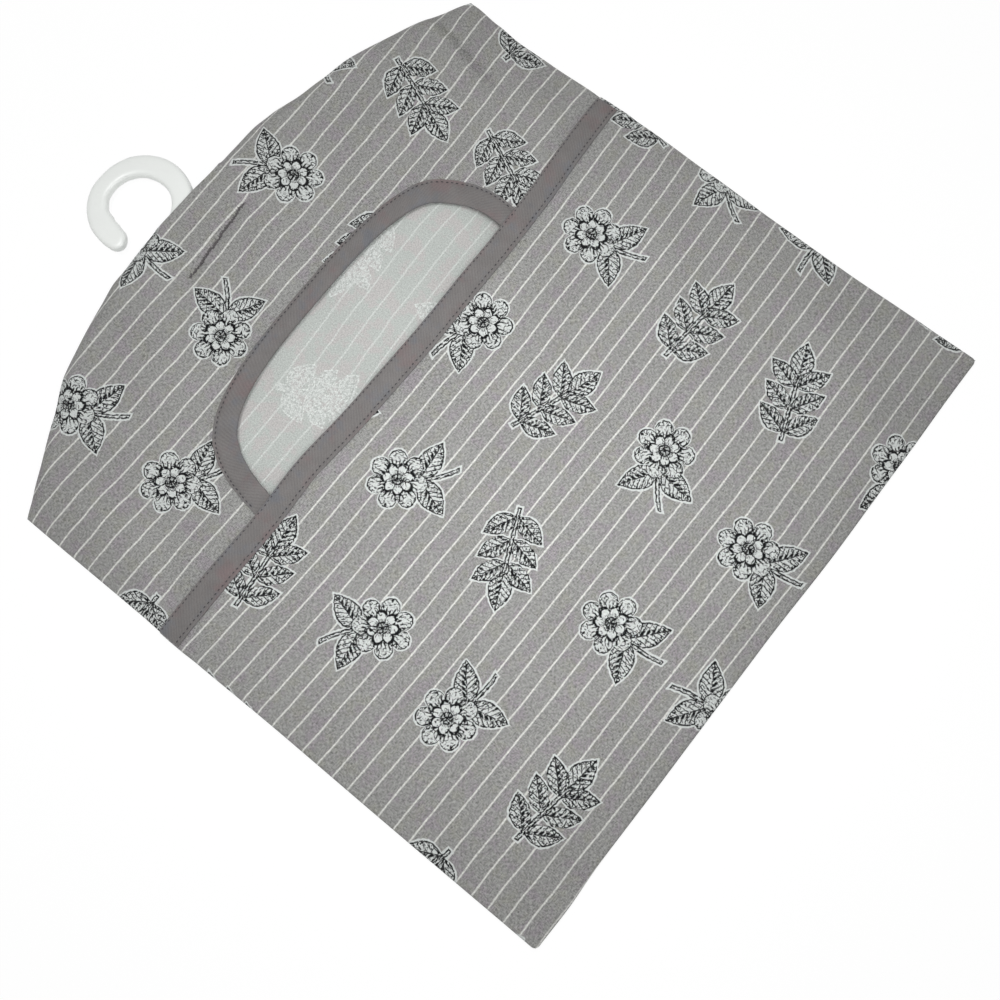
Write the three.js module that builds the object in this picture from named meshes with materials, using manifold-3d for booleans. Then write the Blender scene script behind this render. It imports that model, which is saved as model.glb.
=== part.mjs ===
// A fabric peg bag on its plastic hanger, lying on its back. Millimetres, +Z up.
// u runs across the bag to its right, v up it from its bottom edge, z from its back to its front.
// The finished group is moved so that its origin is under the middle of the whole object.
import * as THREE from 'three';
import { mergeVertices } from 'three/addons/utils/BufferGeometryUtils.js';
import Module from 'manifold-3d';

const wasm = await Module();
wasm.setup();

// Bag outline
const bagWidth = 350;
const sideHeight = 318.5;
const domeRise = 49;
const domePower = 2.4;
const cornerRadius = 3.5;

// Materials of the bag and the room between layers that touch
const canvas = 0.6;
const tape = 0.5;
const clearance = 0.3;

// Turned-in seam allowances
const allowanceWidth = 6;
const allowanceThickness = 1;
const neckGap = 46;
const neckFade = 17;
const neckHem = 3.4;

// Front band and the mouth above it
const yokeDepth = 90.5;
const bandWidth = 12;
const bandFade = 8;
const marginUnderBand = 10.5;
const mouthShift = -3.3;
const mouthHalfWidth = 87.5;
const mouthHeight = 45.2;
const mouthPower = 3.1;
const bindingWidth = 11.3;
const bindingSideWidth = 12.5;

// How the front swells over what lies inside
const ease = 1;
const sideRoll = 45;
const shoulderRoll = 14;
const shoulderDepth = 26;
const bottomRoll = 40;
const domeRoll = 9;

// Hanger: one moulding, a hook on two arms
const hangerThickness = 5.5;
const hangerEdgeRadius = 2;
const armSideRoom = 35;
const armDepth = 10;
const armEndDepth = 8;
const armEndDrop = 39.2;
const hookRise = 31.8;
const hookRadius = 22.3;
const hookWidth = 11.8;
const hookTipWidth = 10.6;
const hookTipAngle = THREE.MathUtils.degToRad(187);
const bendRadius = 10;
const neckFillet = 7;
const armRim = 2.6;
const armWeb = 1.8;
const ribWidth = 1.6;
const bayStart = 31;
const bayEnd = 10;
const baysPerArm = 4;

// Where the slack hanger lies in the bag, and how far it lifts when the bag hangs
const hangerShift = -19.3;
const hangerLift = 4.5;
const hangerRoom = 1.6;

// Row of stitches that keeps the hanger in the top of the bag
const tackLeft = -32.6;
const tackRight = 14.8;
const tackDropLeft = 10.5;
const tackDropRight = 6.7;
const tackDip = 2;
const tackDipReach = 4.5;
const tackThread = 0.9;
const tackSwing = 0.45;
const tackStitches = 18;

// Fineness of the curved surfaces
const acrossSteps = 32;
const domeSteps = 28;
const domeRows = 12;
const cornerSteps = 4;
const mouthSteps = 40;
const armSteps = 14;
const baySteps = 4;
const arcSteps = 6;
const hookSteps = 26;
const edgeSegments = 3;
const rollShares = [0, 0.07, 0.18, 0.33, 0.53, 0.76, 1];

// One overrun serves every cut
const overrun = 2;

// Sizes that follow from those above
const halfWidth = bagWidth / 2;
const armHalfSpan = halfWidth - armSideRoom;
const bandTop = sideHeight - yokeDepth;
const crownHeight = sideHeight + domeRise;
const insideBase = canvas + clearance;
const rimInset = canvas + clearance;
const allowanceReach = rimInset + allowanceWidth;
const seamHeight = insideBase + allowanceThickness + clearance + canvas;
const fullHeight = insideBase + hangerThickness + ease + canvas;
const neckHeight = insideBase + hangerThickness + 2 * clearance + canvas;
const bandBottom = bandTop - bandWidth;
const leafDepth = canvas + clearance + tape;
const underBand = leafDepth + clearance;
const bandProud = clearance + tape;
const armCrest = crownHeight - allowanceReach - hangerLift - hangerRoom - armDepth / 2;
const hangerTop = insideBase + hangerThickness;
const overallHeight = armCrest + hookRise + hookRadius + hookWidth / 2;

// General helpers

function solid(geometry) {
  const bare = geometry.clone();
  bare.deleteAttribute('normal');
  bare.deleteAttribute('uv');
  const merged = mergeVertices(bare);
  return new wasm.Manifold(new wasm.Mesh({
    numProp: 3,
    vertProperties: new Float32Array(merged.attributes.position.array),
    triVerts: new Uint32Array(merged.index.array),
  }));
}

function prism(points, low, high) {
  const geometry = new THREE.ExtrudeGeometry(new THREE.Shape(points), {
    depth: high - low,
    bevelEnabled: false,
    steps: 1,
  });
  return solid(geometry.translate(0, 0, low));
}

function block(uLow, uHigh, vLow, vHigh, low, high) {
  const geometry = new THREE.BoxGeometry(uHigh - uLow, vHigh - vLow, high - low);
  return solid(geometry.translate((uLow + uHigh) / 2, (vLow + vHigh) / 2, (low + high) / 2));
}

function piece(name, body, material) {
  const mesh = body.getMesh();
  const geometry = new THREE.BufferGeometry();
  const places = new Float32Array(mesh.vertProperties);
  geometry.setAttribute('position', new THREE.BufferAttribute(places, 3));
  geometry.setIndex(new THREE.BufferAttribute(new Uint32Array(mesh.triVerts), 1));
  geometry.computeVertexNormals();
  const result = new THREE.Mesh(geometry, material);
  result.name = name;
  return result;
}

function level(height) {
  return () => height;
}

function smooth(from, to, value) {
  return THREE.MathUtils.smoothstep(value, from, to);
}

function arc(centre, radius, from, to, steps) {
  const points = [];
  for (let i = 0; i <= steps; i++) {
    const angle = THREE.MathUtils.lerp(from, to, i / steps);
    const direction = new THREE.Vector2(Math.cos(angle), Math.sin(angle));
    points.push(centre.clone().addScaledVector(direction, radius));
  }
  return points;
}

function solve(gap, low, high) {
  const sign = Math.sign(gap(low));
  for (let i = 0; i < 50; i++) {
    const middle = (low + high) / 2;
    if (Math.sign(gap(middle)) === sign) low = middle;
    else high = middle;
  }
  return (low + high) / 2;
}

// Outline of the bag

function domeHeight(u) {
  return crownHeight - domeRise * Math.abs(u / halfWidth) ** domePower;
}

function domePoint(u, inset) {
  const steepness = domeRise * domePower / halfWidth;
  const slope = -Math.sign(u) * steepness * Math.abs(u / halfWidth) ** (domePower - 1);
  const normal = new THREE.Vector2(slope, -1).normalize();
  return new THREE.Vector2(u, domeHeight(u)).addScaledVector(normal, inset);
}

function bagOutline() {
  const right = new THREE.Vector2(halfWidth - cornerRadius, cornerRadius);
  const left = new THREE.Vector2(cornerRadius - halfWidth, cornerRadius);
  const points = arc(right, cornerRadius, -Math.PI / 2, 0, cornerSteps);
  for (let i = 0; i <= domeSteps; i++) {
    points.push(domePoint(halfWidth * (1 - 2 * i / domeSteps), 0));
  }
  points.push(...arc(left, cornerRadius, Math.PI, 1.5 * Math.PI, cornerSteps));
  return points;
}

function insetOutline(distance) {
  const points = bagOutline();
  return points.map((point, i) => {
    const before = points[(i + points.length - 1) % points.length];
    const after = points[(i + 1) % points.length];
    const first = point.clone().sub(before).normalize();
    const second = after.clone().sub(point).normalize();
    const along = first.clone().add(second).normalize();
    const inward = new THREE.Vector2(-along.y, along.x);
    const mitre = inward.dot(new THREE.Vector2(-first.y, first.x));
    return point.clone().addScaledVector(inward, distance / mitre);
  });
}

function within(inset) {
  return prism(insetOutline(inset), -overrun, fullHeight + underBand + overrun);
}

// Height of the front: seams low, the middle full, the neck lifted over the hook

const tackStart = new THREE.Vector2(tackLeft, armCrest - armDepth / 2 - tackDropLeft);
const tackEnd = new THREE.Vector2(tackRight, armCrest - armDepth / 2 - tackDropRight);

function quarter(distance, roll) {
  return Math.sin(Math.PI / 2 * THREE.MathUtils.clamp(distance / roll, 0, 1));
}

function tackValley(u, v) {
  const start = new THREE.Vector3(...tackStart, 0);
  const line = new THREE.Line3(start, new THREE.Vector3(...tackEnd, 0));
  const point = new THREE.Vector3(u, v, 0);
  const distance = line.closestPointToPoint(point, true, new THREE.Vector3()).distanceTo(point);
  return tackDip * Math.exp(-((distance / tackDipReach) ** 2));
}

function bandLift(v) {
  const rise = smooth(bandBottom - bandFade, bandBottom, v);
  return rise * (1 - smooth(bandTop + 2 * clearance, bandTop + bandFade, v));
}

function edgeHeight(u, v) {
  const neck = 1 - smooth(neckGap / 2 + clearance, neckGap / 2 + neckFade, Math.abs(u));
  const nearDome = smooth(sideHeight, crownHeight - domeRoll, v);
  return seamHeight + underBand * bandLift(v) + (neckHeight - seamHeight) * neck * nearDome;
}

function frontHeight(u, v) {
  const narrowing = smooth(bandTop, sideHeight - shoulderDepth, v);
  const roll = THREE.MathUtils.lerp(sideRoll, shoulderRoll, narrowing);
  const fromSide = quarter(halfWidth - Math.abs(u), roll);
  const swell = fromSide * quarter(v, bottomRoll) * quarter(domeHeight(u) - v, domeRoll);
  const edge = edgeHeight(u, v);
  return edge + (fullHeight - edge) * swell - tackValley(u, v);
}

function upperHeight(u, v) {
  const aboveBand = smooth(bandTop + 2 * clearance, bandTop + bandFade, v);
  return frontHeight(u, v) - underBand * (1 - aboveBand);
}

// Grid that every layer of the front shares, so that the layers keep their distances

function acrossStations() {
  const stations = [-halfWidth - overrun];
  for (let i = 0; i <= acrossSteps; i++) {
    stations.push(halfWidth * Math.sin(Math.PI * (i / acrossSteps - 1 / 2)));
  }
  stations.push(halfWidth + overrun);
  return stations;
}

// Rows as functions of u: level up to the shoulders, then turning to follow the dome
function alongStations() {
  const straight = [-overrun];
  for (const share of rollShares) straight.push(bottomRoll * share);
  const plain = bandBottom - bandFade;
  const shoulder = sideHeight - shoulderDepth;
  straight.push((bottomRoll + plain) / 2, plain, bandBottom - bandFade / 2, bandBottom);
  straight.push(bandTop - 2 * tape, bandTop + 2 * clearance, bandTop + bandFade / 2);
  straight.push(bandTop + bandFade, (bandTop + bandFade + shoulder) / 2, shoulder);
  const rows = straight.map((v) => level(v));
  for (let i = 1; i < domeRows; i++) {
    rows.push((u) => THREE.MathUtils.lerp(shoulder, domeHeight(u) - domeRoll, i / domeRows));
  }
  for (const share of rollShares.slice(1).reverse()) {
    rows.push((u) => domeHeight(u) - domeRoll * share);
  }
  rows.push((u) => domeHeight(u) + overrun);
  return rows;
}

const across = acrossStations();
const along = alongStations();

// A solid between two surfaces over the grid rows that reach from vLow to vHigh
function layer(bottom, top, vLow, vHigh) {
  const first = Math.max(0, along.findLastIndex((row) => row(0) < vLow));
  const next = along.findIndex((row) => row(halfWidth) > vHigh);
  const rows = along.slice(first, next < 0 ? along.length : next + 1);
  const positions = [];
  const index = [];
  for (const height of [bottom, top]) {
    for (const row of rows) {
      for (const u of across) positions.push(u, row(u), height(u, row(u)));
    }
  }
  const wide = across.length;
  const sheet = wide * rows.length;
  for (let j = 0; j < rows.length - 1; j++) {
    for (let i = 0; i < wide - 1; i++) {
      const corner = j * wide + i;
      const up = corner + wide;
      index.push(corner, up, corner + 1, corner + 1, up, up + 1);
      const over = corner + sheet;
      const overUp = up + sheet;
      index.push(over, over + 1, overUp, over + 1, overUp + 1, overUp);
    }
  }
  const rim = [];
  for (let i = 0; i < wide; i++) rim.push(i);
  for (let j = 1; j < rows.length; j++) rim.push(j * wide + wide - 1);
  for (let i = wide - 2; i >= 0; i--) rim.push((rows.length - 1) * wide + i);
  for (let j = rows.length - 2; j > 0; j--) rim.push(j * wide);
  rim.forEach((here, i) => {
    const there = rim[(i + 1) % rim.length];
    index.push(here, there, here + sheet, there, there + sheet, here + sheet);
  });
  const geometry = new THREE.BufferGeometry();
  geometry.setAttribute('position', new THREE.BufferAttribute(new Float32Array(positions), 3));
  geometry.setIndex(index);
  return solid(geometry);
}

function above(surface, rise) {
  return (u, v) => surface(u, v) + rise;
}

function strip(vLow, vHigh) {
  return block(-bagWidth, bagWidth, vLow, vHigh, -overrun, fullHeight + underBand + overrun);
}

// Mouth outline, grown outwards by a margin at its sides and at its top

function mouthOutline(sideMargin, topMargin) {
  const points = [];
  const floor = bandTop - bandWidth - marginUnderBand;
  for (let i = 0; i <= mouthSteps; i++) {
    const angle = Math.PI * i / mouthSteps;
    const cosine = Math.cos(angle);
    const wide = Math.sign(cosine) * Math.abs(cosine) ** (2 / mouthPower);
    const high = Math.abs(Math.sin(angle)) ** (2 / mouthPower);
    points.push(new THREE.Vector2(
      mouthShift + (mouthHalfWidth + sideMargin) * wide,
      bandTop + (mouthHeight + topMargin) * high,
    ));
  }
  points.push(new THREE.Vector2(mouthShift - mouthHalfWidth - sideMargin, floor));
  points.push(new THREE.Vector2(mouthShift + mouthHalfWidth + sideMargin, floor));
  return points;
}

function mouth(sideMargin, topMargin) {
  return prism(mouthOutline(sideMargin, topMargin), -overrun, fullHeight + underBand + overrun);
}

// Bag pieces

function backPanel() {
  return prism(insetOutline(0), 0, canvas);
}

function lowerFrontPanel() {
  const end = bandTop - tape - clearance;
  const outside = layer(level(insideBase), frontHeight, 0, end).intersect(within(0));
  const inside = layer(level(0), above(frontHeight, -canvas), 0, end).intersect(within(canvas));
  return outside.subtract(inside).intersect(strip(-overrun, end));
}

function neckCut(depth) {
  const high = crownHeight + overrun;
  return block(-neckGap / 2, neckGap / 2, crownHeight - depth, high, 0, fullHeight);
}

function upperFrontPanel() {
  const start = bandTop + clearance;
  const margin = bandTop - marginUnderBand;
  const plan = within(0).intersect(strip(start, crownHeight + overrun))
    .add(within(rimInset).intersect(strip(margin, start + canvas)));
  const hollow = within(canvas).add(strip(0, start));
  const outside = layer(level(insideBase), upperHeight, margin, crownHeight).intersect(plan);
  const inside = layer(level(0), above(upperHeight, -canvas), margin, crownHeight);
  const fold = tape + clearance;
  return outside
    .subtract(inside.intersect(hollow.add(neckCut(domeRoll))))
    .subtract(neckCut(neckHem))
    .subtract(mouth(fold, fold));
}

function mouthBinding() {
  const low = bandTop + clearance;
  const high = bandTop + mouthHeight + bindingWidth;
  const outside = layer(above(upperHeight, -leafDepth), above(upperHeight, bandProud), low, high);
  const groove = layer(
    above(upperHeight, -canvas - clearance),
    above(upperHeight, clearance),
    low,
    high,
  );
  return outside
    .intersect(mouth(bindingSideWidth, bindingWidth))
    .intersect(strip(low, high + overrun))
    .subtract(mouth(0, 0))
    .subtract(groove.subtract(mouth(tape, tape)));
}

function frontBand() {
  const fold = bandTop - tape;
  const face = above(frontHeight, clearance);
  const outside = layer(
    above(frontHeight, -leafDepth),
    above(frontHeight, bandProud),
    bandBottom,
    bandTop,
  );
  const groove = layer(above(frontHeight, -canvas - clearance), face, bandBottom, fold);
  const edge = layer(level(0), face, bandBottom, fold).subtract(within(rimInset));
  return outside
    .intersect(within(0))
    .intersect(strip(bandBottom, bandTop))
    .subtract(groove.add(edge).intersect(strip(0, fold)));
}

function sideSeam(side) {
  const outer = side * (halfWidth - rimInset);
  const inner = side * (halfWidth - allowanceReach);
  return block(
    Math.min(outer, inner),
    Math.max(outer, inner),
    allowanceReach + clearance,
    sideHeight - allowanceReach,
    insideBase,
    insideBase + allowanceThickness,
  );
}

function bottomSeam() {
  return prism(insetOutline(rimInset), insideBase, insideBase + allowanceThickness)
    .intersect(strip(0, allowanceReach));
}

function shoulderSeam(side) {
  const outer = [];
  const inner = [];
  const start = neckGap / 2 + clearance;
  for (let i = 0; i <= domeSteps / 2; i++) {
    const u = side * THREE.MathUtils.lerp(start, halfWidth, 2 * i / domeSteps);
    outer.push(domePoint(u, rimInset));
    inner.unshift(domePoint(u, allowanceReach));
  }
  return prism([...outer, ...inner], insideBase, insideBase + allowanceThickness)
    .intersect(within(rimInset));
}

function hangerTack() {
  const run = tackEnd.clone().sub(tackStart);
  const sideways = new THREE.Vector2(-run.y, run.x).normalize();
  const upper = [];
  const lower = [];
  for (let i = 0; i <= 2 * tackStitches; i++) {
    const swing = i % 2 ? tackSwing : -tackSwing;
    const place = tackStart.clone().addScaledVector(run, i / (2 * tackStitches));
    upper.unshift(place.clone().addScaledVector(sideways, swing + tackThread / 2));
    lower.push(place.clone().addScaledVector(sideways, swing - tackThread / 2));
  }
  return prism([...lower, ...upper], insideBase, fullHeight - tackDip - canvas - clearance);
}

// Hanger, drawn around its own middle line and then moved to where it lies

const hookCentre = new THREE.Vector2(0, armCrest + hookRise);
const bendDrop = Math.sqrt((hookRadius + bendRadius) ** 2 - bendRadius ** 2);
const bendCentre = new THREE.Vector2(bendRadius, hookCentre.y - bendDrop);
const bendAngle = Math.atan2(bendDrop, bendRadius);

function armPoint(x, depthShare) {
  const slope = -2 * armEndDrop * x / armHalfSpan ** 2;
  const depth = THREE.MathUtils.lerp(armDepth, armEndDepth, Math.abs(x) / armHalfSpan);
  const normal = new THREE.Vector2(-slope, 1).normalize();
  const middle = new THREE.Vector2(x, armCrest - armEndDrop * (x / armHalfSpan) ** 2);
  return { middle, normal, edge: middle.clone().addScaledVector(normal, depthShare * depth) };
}

function armEdge(from, to, depthShare) {
  const points = [];
  for (let i = 0; i <= armSteps; i++) {
    points.push(armPoint(THREE.MathUtils.lerp(from, to, i / armSteps), depthShare).edge);
  }
  return points;
}

function armEnd(side) {
  const x = side * (armHalfSpan - armEndDepth / 2);
  const { middle, normal, edge } = armPoint(x, 1 / 2);
  const start = normal.angle() + (side < 0 ? Math.PI : 0);
  return arc(middle, edge.distanceTo(middle), start, start - Math.PI, 2 * arcSteps);
}

function hookEdge(side, from, to) {
  const points = [];
  for (let i = 0; i <= hookSteps; i++) {
    const angle = THREE.MathUtils.lerp(from, to, i / hookSteps);
    const thinning = smooth(Math.PI / 2, hookTipAngle, angle);
    const width = THREE.MathUtils.lerp(hookWidth, hookTipWidth, thinning);
    const radius = hookRadius + side * width / 2;
    const direction = new THREE.Vector2(Math.cos(angle), Math.sin(angle));
    points.push(hookCentre.clone().addScaledVector(direction, radius));
  }
  return points;
}

function hangerOutline() {
  const reach = armHalfSpan - armEndDepth / 2;
  const filletCentre = (x) => {
    const { normal, edge } = armPoint(x, 1 / 2);
    return edge.clone().addScaledVector(normal, neckFillet);
  };
  const innerBend = bendRadius + hookWidth / 2;
  const outerHook = hookRadius + hookWidth / 2;
  const farSide = reach / 2;
  const reachTo = (centre) => (x) => filletCentre(x).distanceTo(centre) - neckFillet;
  const leftFoot = solve((x) => reachTo(bendCentre)(x) - innerBend, -farSide, 0);
  const rightFoot = solve((x) => reachTo(hookCentre)(x) - outerHook, 0, farSide);
  const leftCentre = filletCentre(leftFoot);
  const rightCentre = filletCentre(rightFoot);
  const leftStart = armPoint(leftFoot, 1 / 2).normal.angle() - Math.PI;
  const leftEnd = bendCentre.clone().sub(leftCentre).angle() - 2 * Math.PI;
  const rightStart = hookCentre.clone().sub(rightCentre).angle();
  const rightEnd = armPoint(rightFoot, 1 / 2).normal.angle() + Math.PI;
  const hookStart = -bendAngle;
  const outerStart = rightCentre.clone().sub(hookCentre).angle() - 2 * Math.PI;
  const tipRadius = hookTipWidth / 2;
  const tipMiddle = arc(hookCentre, hookRadius, hookTipAngle, hookTipAngle, 1)[0];
  return [
    ...armEdge(-reach, leftFoot, 1 / 2),
    ...arc(leftCentre, neckFillet, leftStart, leftEnd, arcSteps).slice(1),
    ...arc(bendCentre, innerBend, leftEnd + Math.PI, Math.PI - bendAngle, arcSteps).slice(1),
    ...hookEdge(-1, hookStart, hookTipAngle).slice(1),
    ...arc(tipMiddle, tipRadius, hookTipAngle + Math.PI, hookTipAngle, 2 * arcSteps).slice(1),
    ...hookEdge(1, hookTipAngle, outerStart).slice(1),
    ...arc(rightCentre, neckFillet, rightStart, rightEnd, arcSteps).slice(1),
    ...armEdge(rightFoot, reach, 1 / 2).slice(1),
    ...armEnd(1).slice(1),
    ...armEdge(reach, -reach, -1 / 2).slice(1),
    ...armEnd(-1).slice(1, -1),
  ];
}

function armBay(side, number) {
  const room = armHalfSpan - bayEnd - bayStart;
  const length = (room - (baysPerArm - 1) * ribWidth) / baysPerArm;
  const start = bayStart + number * (length + ribWidth);
  const upper = [];
  const lower = [];
  for (let i = 0; i <= baySteps; i++) {
    const x = side * (start + length * i / baySteps);
    const { middle, normal, edge } = armPoint(x, 1 / 2);
    const depth = edge.distanceTo(middle) - armRim;
    upper.unshift(middle.clone().addScaledVector(normal, depth));
    lower.push(middle.clone().addScaledVector(normal, -depth));
  }
  return [...lower, ...upper];
}

function hanger() {
  const geometry = new THREE.ExtrudeGeometry(new THREE.Shape(hangerOutline()), {
    depth: hangerThickness - 2 * hangerEdgeRadius,
    bevelEnabled: true,
    bevelThickness: hangerEdgeRadius,
    bevelSize: hangerEdgeRadius,
    bevelOffset: -hangerEdgeRadius,
    bevelSegments: edgeSegments,
    steps: 1,
  });
  let body = solid(geometry.translate(0, 0, insideBase + hangerEdgeRadius));
  const recess = (hangerThickness - armWeb) / 2;
  for (const side of [-1, 1]) {
    for (let number = 0; number < baysPerArm; number++) {
      const bay = armBay(side, number);
      body = body.subtract(prism(bay, insideBase - overrun, insideBase + recess));
      body = body.subtract(prism(bay, hangerTop - recess, hangerTop + overrun));
    }
  }
  return body.translate([hangerShift, 0, 0]);
}

// Materials and assembly

function plain(color, roughness) {
  return new THREE.MeshStandardMaterial({ color, roughness, metalness: 0 });
}

const printedCanvas = plain(0xa5a5a3, 0.9);
const greyTape = plain(0x7b7979, 0.85);
const overlockedEdge = plain(0xc3c9c5, 0.95);
const darkThread = plain(0x4a4849, 0.8);
const whitePlastic = plain(0xe8ebe5, 0.35);

const pegBag = new THREE.Group();
pegBag.position.set(0, -overallHeight / 2, 0);
pegBag.add(
  piece('back_panel', backPanel(), printedCanvas),
  piece('lower_front_panel', lowerFrontPanel(), printedCanvas),
  piece('upper_front_panel', upperFrontPanel(), printedCanvas),
  piece('mouth_binding', mouthBinding(), greyTape),
  piece('front_band', frontBand(), greyTape),
  piece('left_side_seam', sideSeam(-1), overlockedEdge),
  piece('right_side_seam', sideSeam(1), overlockedEdge),
  piece('bottom_seam', bottomSeam(), overlockedEdge),
  piece('left_shoulder_seam', shoulderSeam(-1), overlockedEdge),
  piece('right_shoulder_seam', shoulderSeam(1), overlockedEdge),
  piece('hanger_tack', hangerTack(), darkThread),
  piece('hanger', hanger(), whitePlastic),
);

export default pegBag;
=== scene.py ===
"""Looks of a striped canvas peg bag on a white plastic hanger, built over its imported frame.

Sizes are in millimetres on the bag's own lines: u across from its middle, v up from its bottom
edge, z up from what it lies on. They become metres in the frame when the points are placed.
"""

import math

import bpy
import numpy as np
from bpy.props import FloatProperty, FloatVectorProperty, IntProperty, PointerProperty
from bpy.types import NodeSocket, Operator, Panel, PropertyGroup
from mathutils import Euler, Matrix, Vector


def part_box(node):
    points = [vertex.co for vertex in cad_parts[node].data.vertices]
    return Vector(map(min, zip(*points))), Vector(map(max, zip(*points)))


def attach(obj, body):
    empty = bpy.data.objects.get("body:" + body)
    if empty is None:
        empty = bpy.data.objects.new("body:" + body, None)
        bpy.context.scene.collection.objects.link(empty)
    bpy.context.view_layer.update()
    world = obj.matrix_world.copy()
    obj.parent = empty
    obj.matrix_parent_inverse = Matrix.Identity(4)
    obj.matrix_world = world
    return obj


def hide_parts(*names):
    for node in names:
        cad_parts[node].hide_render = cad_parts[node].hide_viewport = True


bl_info = {
    "name": "Peg bag",
    "version": (1, 0, 0),
    "blender": (4, 5, 0),
    "location": "3D View > Sidebar > Peg bag",
    "description": "Sews the cloth, tapes, stitches and hanger of a peg bag over its frame",
    "category": "Object",
}

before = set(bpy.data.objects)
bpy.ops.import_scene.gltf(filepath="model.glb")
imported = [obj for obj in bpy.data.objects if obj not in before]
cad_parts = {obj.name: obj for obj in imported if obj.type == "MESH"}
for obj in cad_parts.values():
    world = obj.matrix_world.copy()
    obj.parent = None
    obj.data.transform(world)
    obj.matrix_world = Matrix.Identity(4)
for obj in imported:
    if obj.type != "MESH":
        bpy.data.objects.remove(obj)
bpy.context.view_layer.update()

MM = 0.001
BACK_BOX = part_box("back_panel")
BOTTOM_EDGE = BACK_BOX[0].y / MM
HALF_WIDTH = BACK_BOX[1].x / MM
CROWN = BACK_BOX[1].y / MM - BOTTOM_EDGE
CLOTH_MAP = "cloth"
WHITE = (1.0, 1.0, 1.0, 1.0)


def paint_value(red, green, blue):
    """A colour written in screen values, as the linear one that a shader takes."""
    linear = []
    for part in (red, green, blue):
        part /= 255
        linear.append(part / 12.92 if part <= 0.04045 else ((part + 0.055) / 1.055) ** 2.4)
    return (*linear, 1.0)


def number_of(text, value, about, **limits):
    return FloatProperty(name=text, description=about, default=value, **limits)


def length_of(text, value, about):
    return number_of(text, value, about, min=0.0)


def count_of(text, value, about):
    return IntProperty(name=text, description=about, default=value, min=1)


def colour_of(text, screen, about):
    return FloatVectorProperty(
        name=text, description=about, default=paint_value(*screen), size=4, subtype="COLOR",
        min=0.0, max=1.0,
    )


class BagSizes(PropertyGroup):
    """Lengths of the sewn bag, in millimetres."""

    side: length_of("Side height", 318.5, "Height of the straight sides")
    dome_power: length_of("Dome shape", 2.4, "Power of the curve over the top")
    corner: length_of("Corner radius", 3.5, "Radius of the turned bottom corners")
    canvas: length_of("Canvas", 0.6, "Thickness of the printed cloth")
    tape: length_of("Tape", 0.42, "Thickness of one leaf of the bias tape")
    neck: length_of("Neck gap", 46.0, "Open length of the top seam, where the hook comes out")
    neck_hem: length_of("Neck hem", 3.3, "How far the front's hem stops below the back's")
    full: length_of("Full height", 8.0, "Height of the front over the hanger")
    band_top: length_of("Band top", 228.0, "Height of the band's fold above the bottom edge")
    band_width: length_of("Band width", 12.6, "Width of the folded tape along the pocket")
    mouth_shift: number_of("Mouth shift", -3.3, "Middle of the mouth, off the bag's own")
    mouth_half: length_of("Mouth half width", 88.5, "Half the width of the mouth at the band")
    mouth_height: length_of("Mouth height", 46.3, "Height of the mouth above the band")
    mouth_power: length_of("Mouth shape", 3.1, "Power of the mouth's curve")
    binding_top: length_of("Binding at top", 10.2, "Width of the mouth's tape at its top")
    binding_side: length_of("Binding at sides", 11.5, "Width of the mouth's tape at its sides")
    allowance: length_of("Seam allowance", 6.0, "Width of the turned-in seams")
    grid: length_of("Cloth grid", 2.0, "Distance between the points of the cloth")


class ThreadSizes(PropertyGroup):
    """Lengths of the stitching, in millimetres."""

    pitch: length_of("Stitch pitch", 2.6, "Distance from one stitch to the next")
    stitch: length_of("Stitch length", 1.5, "Length of the thread that shows in one stitch")
    thread: length_of("Thread", 0.53, "Thickness of the sewing thread")
    edge_thread: length_of("Edge thread", 0.32, "Thickness of the overlocking thread")
    tack_thread: length_of("Tack thread", 0.78, "Thickness of the doubled tacking thread")
    tack_stitches: count_of("Tack stitches", 26, "Stitches in the row under the hanger")
    tack_hairs: count_of("Tack hairs", 140, "Loose fibres that stand out of the tacking")


class PrintSizes(PropertyGroup):
    """Lengths of the printed pattern, in millimetres."""

    stripe_pitch: length_of("Stripe pitch", 9.1, "Distance from one stripe to the next")
    stripe_width: length_of("Stripe width", 0.86, "Width of a stripe")
    motif_across: length_of("Motifs across", 75.0, "Distance of the sprigs across the bag")
    motif_along: length_of("Motifs along", 60.0, "Distance of the sprigs up the bag")
    thread_pitch: length_of("Weave", 0.55, "Distance of the canvas's threads")


class BagColours(PropertyGroup):
    """Colours of the cloth, the tape, the thread and the plastic."""

    ground: colour_of("Ground", (158, 158, 156), "Grey of the printed cloth")
    ground_mauve: colour_of("Ground, mauve", (158, 153, 157), "Mauve patches of it")
    ground_olive: colour_of("Ground, olive", (158, 158, 151), "Olive patches of it")
    stripe: colour_of("Stripe", (223, 223, 219), "White of the printed stripes")
    motif: colour_of("Sprig", (222, 226, 224), "White inside the sprigs")
    ink: colour_of("Ink", (8, 8, 11), "Black of the sprigs' lines")
    wrong: colour_of("Wrong side", (199, 204, 200), "Unprinted side of the cloth")
    wrong_warm: colour_of("Wrong side, warm", (203, 201, 199), "Its warm patches")
    wrong_pale: colour_of("Wrong side, pale", (230, 234, 231), "Its lighter marks")
    tape: colour_of("Tape", (123, 120, 119), "Grey of the bias tape")
    tape_warm: colour_of("Tape, warm", (126, 114, 114), "Mauve patches of it")
    tape_cool: colour_of("Tape, cool", (117, 118, 122), "Blue patches of it")
    thread: colour_of("Thread", (58, 56, 59), "Dark sewing thread")
    tacking: colour_of("Tacking", (91, 88, 89), "Thread of the row under the hanger")
    plastic: colour_of("Plastic", (252, 255, 252), "White of the hanger")


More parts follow.
